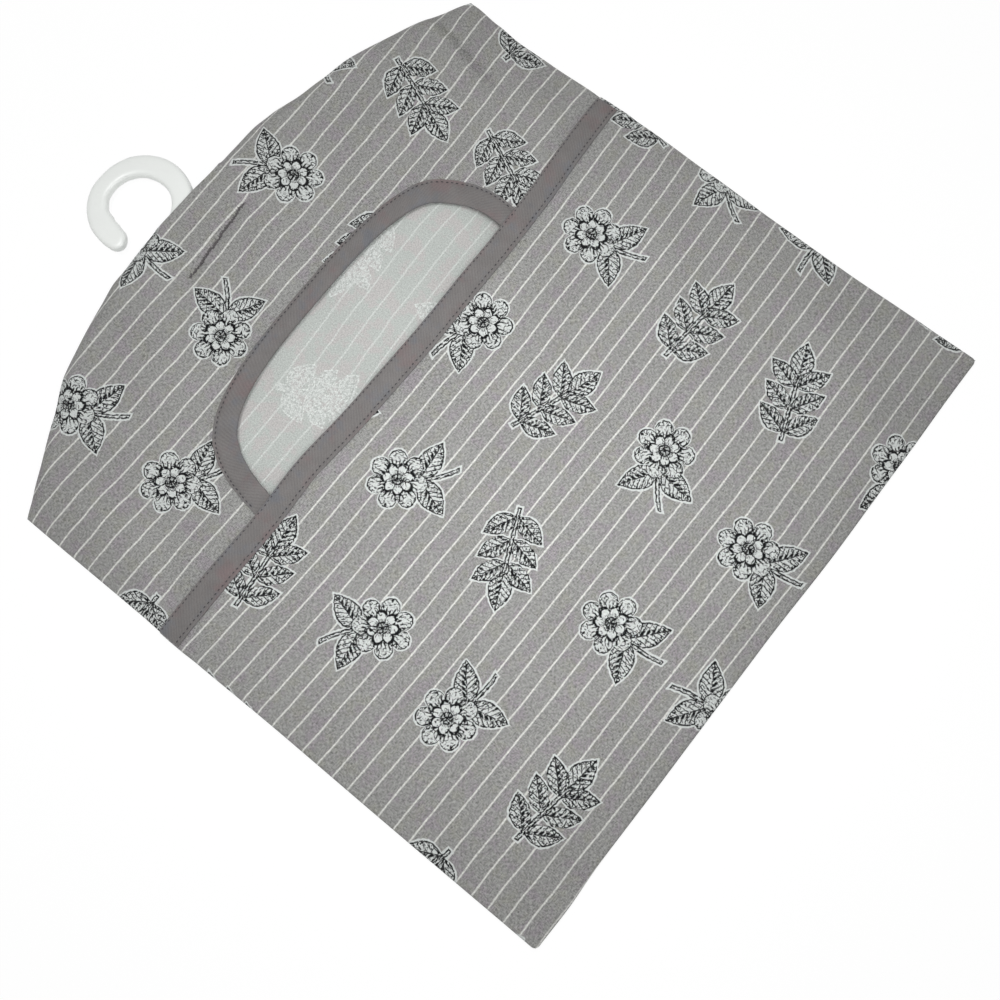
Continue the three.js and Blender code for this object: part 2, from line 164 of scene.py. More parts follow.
class StageSettings(PropertyGroup):
    """Camera and lamps."""

    camera_place: FloatVectorProperty(
        name="Camera", description="Where the camera stands, in the frame", size=3,
        default=(-0.06816, -0.11493, 0.43448), subtype="TRANSLATION",
    )
    camera_turn: FloatVectorProperty(
        name="Camera turn", description="How the camera is turned", size=3, subtype="EULER",
        default=tuple(math.radians(part) for part in (8.721, 1.626, -51.468)),
    )
    lens: number_of("Lens", 32.4, "Focal length on a 36 mm sensor")
    sky: number_of("Sky", 0.285, "Strength of the light all round")
    key: number_of("Key", 3.05, "Power of the lamp beyond the hook")
    pool: number_of("Pool", 0.43, "Power of the lamp over the pocket")


# Curves


def bag():
    return bpy.context.scene.bag_sizes


def smooth(low, high, value):
    """0 at low and 1 at high, smooth between them and level beyond."""
    share = np.clip((value - low) / (high - low), 0, 1)
    return share * share * (3 - 2 * share)


def quarter(distance, roll):
    """A rounded rise from 0 to 1 over the width of a roll."""
    return np.sin(np.pi / 2 * np.clip(distance / roll, 0, 1))


def hump(away, half):
    """1 in the middle of a soft hump, and nearly 0 at twice its half width."""
    return np.exp(-((away / half) ** 2))


def between(knots, place):
    """Value at a place between knots, level at each of them."""
    below = np.clip(np.searchsorted(knots[:, 0], place) - 1, 0, len(knots) - 2)
    share = smooth(knots[below, 0], knots[below + 1, 0], place)
    return knots[below, 1] + (knots[below + 1, 1] - knots[below, 1]) * share


def run_along(u, v):
    """Distance run along a line of points, at each of them."""
    return np.concatenate([[0], np.cumsum(np.hypot(np.diff(u), np.diff(v)))])


def at_run(place, run, line):
    """Point of a line where that distance has been run."""
    return np.array([np.interp(place, run, part) for part in line.T])


# Outline of the bag, uneven as it was sewn: pairs of a place and how far it lies outward

UNEVEN_DOME = np.array([
    [-175, -1.0], [-165, -2.0], [-150, -2.6], [-130, -1.8], [-110, 1.3], [-95, 1.0], [-72, 1.0],
    [-60, 1.7], [-48, 0.7], [-28, 0.5], [0, -0.5], [18, -1.4], [35, -1.1], [51, -0.3], [60, -0.9],
    [80, -2.9], [92, -2.5], [112, -0.5], [130, -0.7], [148, 0.1], [160, 0.1], [172, 1.0],
])
UNEVEN_RIGHT = np.array([
    [0, 0.2], [30, -0.4], [78, -1.3], [120, -1.1], [160, -0.3], [198, 0.3], [235, -0.7],
    [262, -1.6], [284, -1.9], [300, -0.6], [315, 0.8],
])
UNEVEN_LEFT = np.array([[0, 0.0], [90, 0.2], [150, 0.1], [222, 0.8], [240, 0.3], [310, 0.7]])
UNEVEN_BOTTOM = np.array([
    [-175, 0.2], [-152, 0.6], [-128, -0.3], [-80, 0.0], [0, 0.0], [55, 1.0], [110, 0.5],
    [160, -0.2],
])
STRAY_FROM = 90
BOTTOM_STRAY = 40


def dome(u):
    """Height of the domed top above the bottom edge."""
    size = bag()
    even = CROWN - (CROWN - size.side) * np.abs(u / HALF_WIDTH) ** size.dome_power
    return even + between(UNEVEN_DOME, u)


def dome_slope(u):
    return dome(u + 0.5) - dome(u - 0.5)


def stray(u, v):
    """How far the sides and the bottom stray from their straight lines."""
    right = between(UNEVEN_RIGHT, v) * smooth(STRAY_FROM, HALF_WIDTH, u)
    left = between(UNEVEN_LEFT, v) * smooth(STRAY_FROM, HALF_WIDTH, -u)
    return right - left, -between(UNEVEN_BOTTOM, u) * smooth(BOTTOM_STRAY, 0, v)


def from_side(u):
    return HALF_WIDTH - np.abs(u)


def edge_distance(u, v):
    """Distance in from the bag's outline."""
    from_dome = (dome(u) - v) / np.sqrt(1 + dome_slope(u) ** 2)
    return np.maximum(np.minimum(np.minimum(from_side(u), v), from_dome), 0)


# Lines of the band and the print, off straight

BAND_KNOTS = np.array([
    [-171, 1.4], [-153, 1.0], [-126, 0.6], [-108, 0.2], [-99, 0.3], [-90, 0.9], [-81, 1.4],
    [-72, 1.7], [-63, 1.4], [-54, 0.5], [-45, -0.1], [-36, -0.6], [-18, -1.1], [0, -1.6],
    [18, -2.0], [36, -1.8], [54, -1.4], [72, -1.7], [81, -1.4], [99, -0.9], [108, -0.5],
    [117, 0.0], [126, 0.9], [135, 1.6], [153, 2.9], [162, 3.6], [171, 4.3],
])
PRINT_ACROSS = (-172, -160, -135, -90, -45, 0, 45, 90, 135, 160, 172)
POCKET_PRINT = np.array([
    [9, 0.9, 1.3, 0.6, -0.7, -0.7, -1.3, -1.9, -1.2, -0.6, -0.9, -1.2],
    [50, 1.1, 1.6, 1.4, 0.1, -0.1, -0.9, -1.8, -1.1, -0.6, -0.6, -0.5],
    [90, 2, 1.9, 1.2, -0.3, -0.7, -1.3, -2.1, -1.4, -0.8, 0, 0.6],
    [130, 2.8, 1.8, 0.6, -0.9, -1.4, -1.9, -2.8, -1.6, -0.5, 0.9, 1.8],
    [170, 3.6, 2.3, 0.8, -0.9, -1.7, -2, -2.9, -1.5, -0.2, 1.3, 2.6],
    [212, 4.9, 3.5, 1.3, -0.7, -1.3, -1.7, -2.8, -1.5, 0.6, 2.4, 3.5],
])
TOP_PRINT = np.array([
    [232, 1.5, 1.3, 0.2, -0.6, -1, -0.8, 0.2, 1.4, 2.4, 3.4, 3],
    [258, 3.1, 1.8, 0.4, -0.3, -0.3, -0.3, -0.2, 1.2, 2.4, 3.4, 4.7],
    [284, 4.2, 2.6, 1.2, 0.3, 0.8, 0.9, -0.6, 0.3, 2.1, 4.5, 6.8],
    [308, 5, 3.9, 2.5, 1.7, 1.6, 0.9, 0.6, 1.6, 3.3, 6.1, 8.2],
    [330, 5.6, 5, 3.8, 2.8, 2.3, 1.9, 2.5, 3.8, 4.4, 7.1, 8.7],
    [356, 6.2, 5.9, 4.9, 4.4, 4.7, 4.6, 4.6, 4.5, 5.6, 7.8, 9],
])


def band_line(u):
    """How far the band's fold lies above its straight line, where it sags, bulges and climbs."""
    near = [np.interp(u + aside, *BAND_KNOTS.T) for aside in (-7, -3.5, 0, 3.5, 7)]
    return sum(near) / len(near)


def off_straight(table, u, v):
    """How far up the print lies from straight, by a table that starts each row with its v."""
    rows = [np.interp(u, PRINT_ACROSS, row[1:]) for row in table]
    place = np.interp(v, table[:, 0], np.arange(len(table)))
    return sum(row * np.clip(1 - np.abs(place - number), 0, 1) for number, row in enumerate(rows))


# Heights of the faces

SEAM_HEIGHT = 2.8
BAND_STEP = 1.7
BAND_FADE = 8
NECK_LIFT = 4.8
NECK_FADE = 17
LOW_ROLL, HIGH_ROLL = 45, 30
BOTTOM_ROLL, DOME_ROLL = 40, 9
TURN_WIDTH, TURN_DEPTH = 1.5, 1.35
TACK_START = np.array([-32.6, 334.0])
TACK_RUN = np.array([15.0, 338.4]) - TACK_START
TACK_DEPTH, TACK_HALF = 1.9, 3.0
CREASE_TOP, CREASE_LEAN = (154.5, 327.5), 0.184
CREASE_DEPTH, CREASE_RIDGE = 1.1, 0.25
SLACK_WAVES = (
    (118, 0.35, 0.4, 0.42), (83, 1.9, 2.1, 0.34), (61, 2.6, 4.0, 0.24), (47, 0.9, 5.2, 0.16),
    (33, 1.4, 1.3, 0.09), (27, 2.9, 3.3, 0.07), (19, 0.2, 0.9, 0.04),
)
PUCKER_WAVES = ((9.5, 0.0, 0.5, 0.11), (6.7, 0.0, 2.2, 0.08), (14.0, 0.0, 4.1, 0.1))


def tack_valley(u, v):
    """How deep the row of tacking draws the front down."""
    across, along = u - TACK_START[0], v - TACK_START[1]
    share = np.clip((across * TACK_RUN[0] + along * TACK_RUN[1]) / (TACK_RUN @ TACK_RUN), 0, 1)
    away = np.hypot(across - share * TACK_RUN[0], along - share * TACK_RUN[1])
    return TACK_DEPTH * hump(away, TACK_HALF)


def behind_band(v):
    """1 behind the band, falling to 0 over the cloth just above it."""
    top = bag().band_top
    return 1 - smooth(top + 0.6, top + BAND_FADE, v)


def band_lift(v):
    """1 under the band, where the pocket's front lies over the upper one."""
    low = bag().band_top - bag().band_width
    return smooth(low - BAND_FADE, low, v) * behind_band(v)


def neck_lift(u, v):
    """How far the front is lifted round the neck gap, where the hook comes out."""
    half = bag().neck / 2
    near_neck = 1 - smooth(half + 0.3, half + NECK_FADE, np.abs(u))
    return NECK_LIFT * near_neck * smooth(bag().side, CROWN - DOME_ROLL, v)


def front_height(u, v):
    """Height of the front's outer face: low at the seams, full inside, lifted at the neck."""
    size = bag()
    narrowing = smooth(size.band_top, size.side - 26, v)
    roll = LOW_ROLL + (HIGH_ROLL - LOW_ROLL) * narrowing
    swell = quarter(from_side(u), roll) * quarter(v, BOTTOM_ROLL) * quarter(dome(u) - v, DOME_ROLL)
    sewn_flat = 0.6 * smooth(8, 0, from_side(u))
    edge = SEAM_HEIGHT + (BAND_STEP - sewn_flat) * band_lift(v) + neck_lift(u, v)
    return edge + (size.full - edge) * swell - tack_valley(u, v)


def ripple(u, v, waves):
    """A fixed mixture of long waves: rows of length, direction, start and height."""
    total = 0
    for length, direction, start, height in waves:
        along = u * math.cos(direction) + v * math.sin(direction)
        total = total + height * np.sin(2 * np.pi * along / length + start)
    return total


def slack(u, v):
    """How the cloth waves between its seams, and puckers along them."""
    inside = edge_distance(u, v)
    free = smooth(4, 34, inside)
    along_seam = np.where(from_side(u) < v, v, u)
    near_seam = smooth(0, 2.5, inside) * (1 - smooth(4, 16, inside))
    return free * ripple(u, v, SLACK_WAVES) + near_seam * ripple(along_seam, 0, PUCKER_WAVES)


def beside_crease(u, v):
    """Distance to the right of the fold below the right shoulder."""
    return u - CREASE_TOP[0] + (CREASE_TOP[1] - v) * CREASE_LEAN


def crease(u, v):
    """The soft fold that runs down from the right shoulder."""
    aside = beside_crease(u, v) - 0.6 * np.sin(v / 7)
    share = smooth(258, 296, v) * (1 - smooth(322, 336, v))
    valley = CREASE_DEPTH * hump(aside, np.where(aside < 0, 2.4, 8.5))
    return share * (CREASE_RIDGE * hump(aside + 5.5, 3) - valley)


def turned_edge(u, v):
    """How far a face turns in towards the seam over the last of its width."""
    share = np.clip(1 - edge_distance(u, v) / TURN_WIDTH, 0, 1)
    return 1 - np.sqrt(1 - share**2)


def lower_face(u, v):
    """Outer face of the pocket's front."""
    loose = slack(u, v) * (1 - band_lift(v))
    return front_height(u, v) + loose - TURN_DEPTH * turned_edge(u, v)


def sewn_share(u):
    """0 where the top seam is open round the hook, 1 where it is sewn."""
    half = bag().neck / 2
    return smooth(half - 0.5, half + 2.5, np.abs(u))


def upper_face(u, v):
    """Outer face of the front above the band, and down behind it."""
    top = bag().band_top
    calm = smooth(top + 1, top + 26, v) * (1 - mouth_nearness(u, v, 20))
    fall = neck_lift(u, v) * (1 - smooth(0, 6.5, edge_distance(u, v)))
    turn = (TURN_DEPTH * turned_edge(u, v) + fall) * sewn_share(u)
    loose = 0.8 * slack(u, v) * calm + crease(u, v) - lip_press(u, v)
    return front_height(u, v) - BAND_STEP * behind_band(v) + loose - turn


def back_face(u, v):
    """Outer face of the back, which lies down and turns up to the seam."""
    rise = 0.1 + 0.1 * np.sin(u / 31 + 1) * np.sin(v / 27)
    return 1.25 * turned_edge(u, v) + rise * smooth(6, 40, edge_distance(u, v))


# The mouth

LIP_PRESS = 4.9
OVERHEAD = (-68, 90, 430)
FRONT_ABOVE = 1
UNEVEN_MOUTH_LEFT = np.array([
    [0.0, 0.0], [0.14, -1.1], [0.28, -2.1], [0.44, -2.7], [0.6, -2.4], [0.74, -1.0], [0.86, 0.0],
])
UNEVEN_MOUTH_RIGHT = np.array([
    [0.0, 0.4], [0.24, 0.0], [0.38, -0.6], [0.5, -1.3], [0.6, -1.1], [0.69, 0.0], [0.76, 1.4],
    [0.84, 2.4], [0.93, 1.6], [1.0, 0.0],
])


def mouth_value(u, v, side, top):
    """Below 1 inside the mouth grown by the two margins, above 1 outside."""
    size = bag()
    across = np.abs(u - size.mouth_shift) / (size.mouth_half + side)
    high = np.maximum(v - size.band_top, 0) / (size.mouth_height + top)
    return across**size.mouth_power + high**size.mouth_power


def mouth_nearness(u, v, reach):
    """1 on the mouth's tape, falling to 0 about that far outside it."""
    past_tape = mouth_value(u, v, bag().binding_side, bag().binding_top)
    return 1 - smooth(1, 1 + reach * 2.6 / 60, past_tape)


def lip_press(u, v):
    """How much lower the empty bag's front lies along the mouth than over the hanger."""
    top = bag().band_top
    return LIP_PRESS * mouth_nearness(u, v, 70) * smooth(top + 2, top + 26, v)


def overhead_slide(u, v):
    """How far the lowered front moves across and up, to keep its place seen from overhead."""
    share = lip_press(u, v) / OVERHEAD[2]
    return share * (u - OVERHEAD[0]), share * (v - OVERHEAD[1])


def settled(u, v, z):
    """Place of a point as it was sewn, with the front's own points slid where it lies lower."""
    aside, along = stray(u, v)
    across, up = overhead_slide(u, v)
    front = z > FRONT_ABOVE
    return u + aside + across * front, v + along + up * front


def mouth_path(side, top, angle):
    """Point of the mouth's outline, grown by the two margins, at an angle of its curve."""
    size = bag()
    cosine, power = np.cos(angle), 2 / size.mouth_power
    rise = np.abs(np.sin(angle)) ** power
    left, right = between(UNEVEN_MOUTH_LEFT, rise), between(UNEVEN_MOUTH_RIGHT, rise)
    reach = (size.mouth_half + side) * np.abs(cosine) ** power + np.where(cosine < 0, left, right)
    across = size.mouth_shift + np.sign(cosine) * reach
    return across, size.band_top + (size.mouth_height + top) * rise


def mouth_angles(step=1.5):
    """Angles of the mouth's curve at even steps along its tape."""
    fine = np.linspace(0, np.pi, 4001)
    run = run_along(*mouth_path(6, 6, fine))
    even = run[-1] / (run[-1] // step * step)
    return np.interp(np.arange(0, run[-1] + 1, step) * even, run, fine)


def in_mouth(u, v):
    """Whether a place lies in the mouth, or hidden behind the band right below it."""
    size = bag()
    across, up = overhead_slide(u, v)
    u, v = u - across, v - up
    below = v < size.band_top + 2 and abs(u - size.mouth_shift) < size.mouth_half + 1.5
    return below or mouth_value(u, v, 3, 3) < 1


# Meshes

NEAR_EDGE = np.array([0, 0.18, 0.42, 0.75, 1.15, 1.6, 2.2, 3.1, 4.4])
NEAR_DOME = np.array([9, 7.3, 5.8, *NEAR_EDGE[::-1]])


def start_clean():
    """Leaves edit mode and deselects everything, the frame's own nodes too."""
    if bpy.context.object and bpy.context.object.mode != "OBJECT":
        to_mode("OBJECT")
    bpy.ops.object.select_all(action="DESELECT")


def to_mode(name):
    bpy.ops.object.mode_set(mode=name)


def pick(piece):
    """Makes the piece the only one that is selected, and the active one."""
    start_clean()
    piece.select_set(True)
    bpy.context.view_layer.objects.active = piece


def points_of(piece):
    flat = np.empty(len(piece.data.vertices) * 3)
    piece.data.vertices.foreach_get("co", flat)
    return flat.reshape(-1, 3)


def put_points(piece, u, v, z):
    """Moves the points to places on the bag's lines."""
    places = np.column_stack([u, v + BOTTOM_EDGE, z]) * MM
    piece.data.vertices.foreach_set("co", places.ravel())
    piece.data.update()


def put_sewn(piece, u, v, z):
    put_points(piece, *settled(u, v, z), z)


def add_grid(name, columns, rows):
    """Adds a grid of that many cells, with the column and the row of each of its points."""
    start_clean()
    bpy.ops.mesh.primitive_grid_add(x_subdivisions=columns, y_subdivisions=rows, size=1)
    piece = bpy.context.object
    piece.name = piece.data.name = name
    share = points_of(piece)[:, :2] + 0.5
    return piece, *np.rint(share * (columns, rows)).astype(int).T


def cloth_stops(low, high, step):
    """Places across a cloth from low to high, closer together at its turned edges."""
    middle = np.linspace(low + 6, high - 6, max(2, round((high - low - 12) / step) + 1))
    return np.concatenate([low + NEAR_EDGE, middle, (high - NEAR_EDGE)[::-1]])


def level_row(v, share=0.0):
    """Row of a cloth at one height, which follows the band's line by a share."""
    return lambda u: v + share * band_line(u)


def dome_rows(start, step):
    """Rows that turn from level at start to follow the dome, closer together at its edge."""
    count = round((CROWN - start) / step)
    rows = []
    for share in np.linspace(0, 1, count + 1)[1:]:
        rows.append(lambda u, share=share: start + (dome(u) - NEAR_DOME[0] - start) * share)
    return rows + [lambda u, down=down: dome(u) - down for down in NEAR_DOME[1:]]


def add_cloth(name, rows, face):
    """Adds a grid as wide as the bag, moves its points to the rows, and lifts it to its face."""
    stops = cloth_stops(-HALF_WIDTH, HALF_WIDTH, bag().grid)
    table = np.array([np.broadcast_to(row(stops), stops.shape) for row in rows])
    piece, column, line = add_grid(name, len(stops) - 1, len(rows) - 1)
    u, v = round_corners(stops[column], table[line, column])
    put_sewn(piece, u, v, face(u, v))
    return piece, u, v


def round_corners(u, v):
    """Draws the two bottom corners in to their radius."""
    radius = bag().corner
    x = np.clip((radius - from_side(u)) / radius, 0, 1)
    y = np.clip((radius - v) / radius, 0, 1)
    both = (x > 0) & (y > 0)
    wide = HALF_WIDTH - radius + radius * x * np.sqrt(1 - y * y / 2)
    high = radius - radius * y * np.sqrt(1 - x * x / 2)
    return np.where(both, np.sign(u) * wide, u), np.where(both, high, v)


def map_cloth(piece, u, v):
    """Keeps the flat cloth's own places, in metres, as the map that its print follows."""
    while piece.data.uv_layers:
        piece.data.uv_layers.remove(piece.data.uv_layers[0])
    layer = piece.data.uv_layers.new(name=CLOTH_MAP)
    corners = np.empty(len(piece.data.loops), dtype=np.int32)
    piece.data.loops.foreach_get("vertex_index", corners)
    layer.data.foreach_set("uv", (np.column_stack([u, v])[corners] * MM).ravel())


def modify(piece, kind, **values):
    """Adds a modifier with these values and applies it."""
    pick(piece)
    bpy.ops.object.modifier_add(type=kind)
    modifier = piece.modifiers[-1]
    for name, value in values.items():
        setattr(modifier, name, value)
    bpy.ops.object.modifier_apply(modifier=modifier.name)


def shade(piece, angle=50):
    pick(piece)
    bpy.ops.object.shade_smooth_by_angle(angle=math.radians(angle))


def face_up(piece, upwards=True):
    """Turns the faces of an open sheet so that its upper leaf faces up, or down."""
    middle = np.median(points_of(piece)[:, 2]) - 1e-6
    top = [polygon for polygon in piece.data.polygons if polygon.center.z >= middle]
    total = sum((polygon.normal * polygon.area).z for polygon in top)
    if (total > 0) != upwards:
        pick(piece)
        to_mode("EDIT")
        bpy.ops.mesh.select_all(action="SELECT")
        bpy.ops.mesh.flip_normals()
        to_mode("OBJECT")


def delete_faces(piece, chosen):
    """Deletes the faces whose middle, on the bag's lines, is chosen."""
    pick(piece)
    to_mode("EDIT")
    bpy.ops.mesh.select_mode(type="FACE")
    bpy.ops.mesh.select_all(action="DESELECT")
    to_mode("OBJECT")
    for polygon in piece.data.polygons:
        middle = polygon.center / MM
        polygon.select = bool(chosen(middle.x, middle.y - BOTTOM_EDGE))
    to_mode("EDIT")
    bpy.ops.mesh.delete(type="FACE")
    to_mode("OBJECT")


def dress(piece, *materials):
    piece.data.materials.clear()
    for material in materials:
        piece.data.materials.append(material)


def thicken(piece, thickness, *materials, offset=-1):
    """Gives a sheet its thickness and its materials, the outer side's first."""
    dress(piece, *materials)
    values = {"thickness": thickness * MM, "offset": offset, "material_offset": len(materials) - 1}
    modify(piece, "SOLIDIFY", **values)
    shade(piece)


def finish_piece(piece, slot, body, *nodes):
    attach(piece, body)
    if nodes:
        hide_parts(*nodes)


def finish_cloth(piece, node):
    """Turns a sheet of printed cloth into its finished piece."""
    thicken(piece, bag().canvas, material("striped_canvas"), material("canvas_wrong_side"))
    finish_piece(piece, "printed_canvas", "bag", node)


def sweep_tape(name, path, profile, face, node):
    """A piece of tape: rows of points across its profile at each place of its path.

    Each place gives the tape's inner and outer edge. Each profile point is its share of the
    tape's width, and its height above the face."""
    piece, station, stop = add_grid(name, len(path) - 1, len(profile) - 1)
    share, rise = profile[stop].T
    inner, outer = path[station, 0:2], path[station, 2:4]
    u, v = (inner + (outer - inner) * share[:, None]).T
    put_sewn(piece, u, v, face(u, v) + rise)
    width = np.hypot(*(path[0, 2:4] - path[0, 0:2]))
    climb = run_along(profile[:, 0] * width, profile[:, 1])
    map_cloth(piece, run_along(path[:, 0], path[:, 1])[station], climb[stop])
    face_up(piece)
    thicken(piece, bag().tape, material("grey_bias_tape"))
    finish_piece(piece, "grey_tape", "bag", node)


FOLD_HALF = 1.05
FRONT_RISE = 0.62
ROW_DEPTH, ROW_HALF = 0.3, 0.7
FOLD_ROW_DEPTH, FOLD_ROW_HALF = 0.24, 0.6
EDGE_FLARE = 0.36


def tape_profile(width, puff, row_at, fold_row=False):
    """Profile of a folded tape, from the edge of its hidden leaf, round its fold, to the edge
    of its front leaf. A row of stitches draws the front leaf down near its edge, and another
    one may do so beside the fold."""
    points = [(1.0, -1.15), (0.97, -1.32), (0.8, -1.38), (0.5, -1.4), (0.25, -1.4), (0.12, -1.36)]
    for angle in np.linspace(-75, 75, 9):
        turn = math.radians(angle)
        reach = FOLD_HALF / width
        points.append((reach * (1 - math.cos(turn)), -0.33 + FOLD_HALF * math.sin(turn)))
    row = width - row_at
    for distance in np.linspace(1.5, width - 0.4, 22):
        rise = FRONT_RISE + puff * math.sin(math.pi * min(distance / row, 1)) ** 0.7
        rise -= ROW_DEPTH * hump(row - distance, ROW_HALF)
        if fold_row:
            rise -= FOLD_ROW_DEPTH * hump(distance - 1.1, FOLD_ROW_HALF)
        rise += EDGE_FLARE * smooth(row + 0.4, width - 0.3, distance)
        points.append((distance / width, rise))
    points += [((width - 0.12) / width, 0.84), (1.0, 0.62), ((width - 0.1) / width, 0.46)]
    return np.array(points)


# Threads


def add_stitch_form():
    """One stitch lying along x, one unit long and thick, rounded and dipping at its ends."""
    start_clean()
    bpy.ops.mesh.primitive_cylinder_add(
        vertices=6, radius=0.5, depth=1, end_fill_type="TRIFAN", rotation=(0, math.pi / 2, 0)
    )
    form = bpy.context.object
    bpy.ops.object.transform_apply(location=False, rotation=True, scale=False)
    to_mode("EDIT")
    for place in (-0.3, 0.0, 0.3):
        bpy.ops.mesh.select_all(action="SELECT")
        bpy.ops.mesh.bisect(plane_co=(place, 0, 0), plane_no=(1, 0, 0))
    to_mode("OBJECT")
    points = points_of(form)
    to_end = (2 * points[:, 0]) ** 4
    fullness = np.sqrt(np.clip(1 - to_end, 0.12, 1))
    points[:, 1] *= fullness
    points[:, 2] = points[:, 2] * fullness - 0.9 * to_end
    faces = [tuple(polygon.vertices) for polygon in form.data.polygons]
    bpy.data.objects.remove(form)
    return points, faces


def sew(name, ends, thickness, thread):
    """Copies the stitch between pairs of ends, given on the bag's lines, as one row.

    Each pair comes with its share of the thread's thickness."""
    form, faces = add_stitch_form()
    points, copies = [], []
    for number, (start, end, share) in enumerate(ends):
        start, end = np.array(start), np.array(end)
        run = end - start
        side = np.array([-run[1], run[0], 0]) / max(np.hypot(run[0], run[1]), 1e-6)
        up = np.cross(run / np.linalg.norm(run), side)
        section = (form[:, 1:2] * side + form[:, 2:] * up) * thickness * share
        points.append((start + end) / 2 + form[:, :1] * run + section)
        first = number * len(form)
        copies += [tuple(corner + first for corner in face) for face in faces]
    places = np.concatenate(points)
    places[:, 0], places[:, 1] = settled(*places.T)
    places[:, 1] += BOTTOM_EDGE
    mesh = bpy.data.meshes.new(name)
    mesh.from_pydata((places * MM).tolist(), [], copies)
    row = bpy.data.objects.new(name, mesh)
    bpy.context.scene.collection.objects.link(row)
    dress(row, material(thread))
    shade(row, 80)
    return row


def on_face(u, v, face, rise):
    """A point that far above a face."""
    return u, v, float(face(np.array([u]), np.array([v]))[0]) + rise


def stitch_ends(u, v, face, rise, wander=0.12):
    """Ends of the stitches that follow a line of close points over a face."""
    size = bpy.context.scene.thread_sizes
    run, line = run_along(u, v), np.column_stack([u, v])
    ends = []
    for number in range(int(run[-1] // size.pitch)):
        start = (number + 0.18) * size.pitch + 0.12 * math.sin(number * 2.4)
        pair = []
        for place, swing in ((start, number * 1.7), (start + size.stitch, number * 1.7 + 1)):
            a, b = at_run(place, run, line)
            pair.append(on_face(a, b + wander * math.sin(swing), face, rise))
        ends.append((*pair, 1 + 0.12 * math.sin(number * 3.1)))
    return ends


# Shader maths


def sign(operation, swapped=False):
    """Method that puts a Math node between a value and the ones beside it."""
    def method(self, *others):
        values = (*others, self) if swapped else (self, *others)
        return self.paint.maths(operation, *values)
    return method


class Number:
    """A value that a material works out, written with the usual signs."""

    def __init__(self, paint, socket):
        self.paint = paint
        self.socket = socket

    __add__ = __radd__ = sign("ADD")
    __mul__ = __rmul__ = sign("MULTIPLY")
    __sub__, __rsub__ = sign("SUBTRACT"), sign("SUBTRACT", swapped=True)
    __truediv__, __rtruediv__ = sign("DIVIDE"), sign("DIVIDE", swapped=True)
    __pow__ = sign("POWER")
    __abs__ = sign("ABSOLUTE")
    floor, fraction = sign("FLOOR"), sign("FRACT")
    sine, cosine = sign("SINE"), sign("COSINE")
    most, least = sign("MAXIMUM"), sign("MINIMUM")

    def rise(self, low, high):
        """0 below low, 1 above high, smooth between them."""
        node = self.paint.node(
            "ShaderNodeMapRange", {"interpolation_type": "SMOOTHSTEP"},
            {"Value": self, "From Min": low, "From Max": high},
        )
        return Number(self.paint, node.outputs[0])

    def fall(self, low, high):
        return 1 - self.rise(low, high)

    def inside(self):
        """1 within a shape, where its fullness is above 0."""
        return self.rise(-0.1, 0.1)

    def line(self):
        """1 along a shape's edge, where its fullness is near 0."""
        return abs(self).fall(0.2, 0.44)


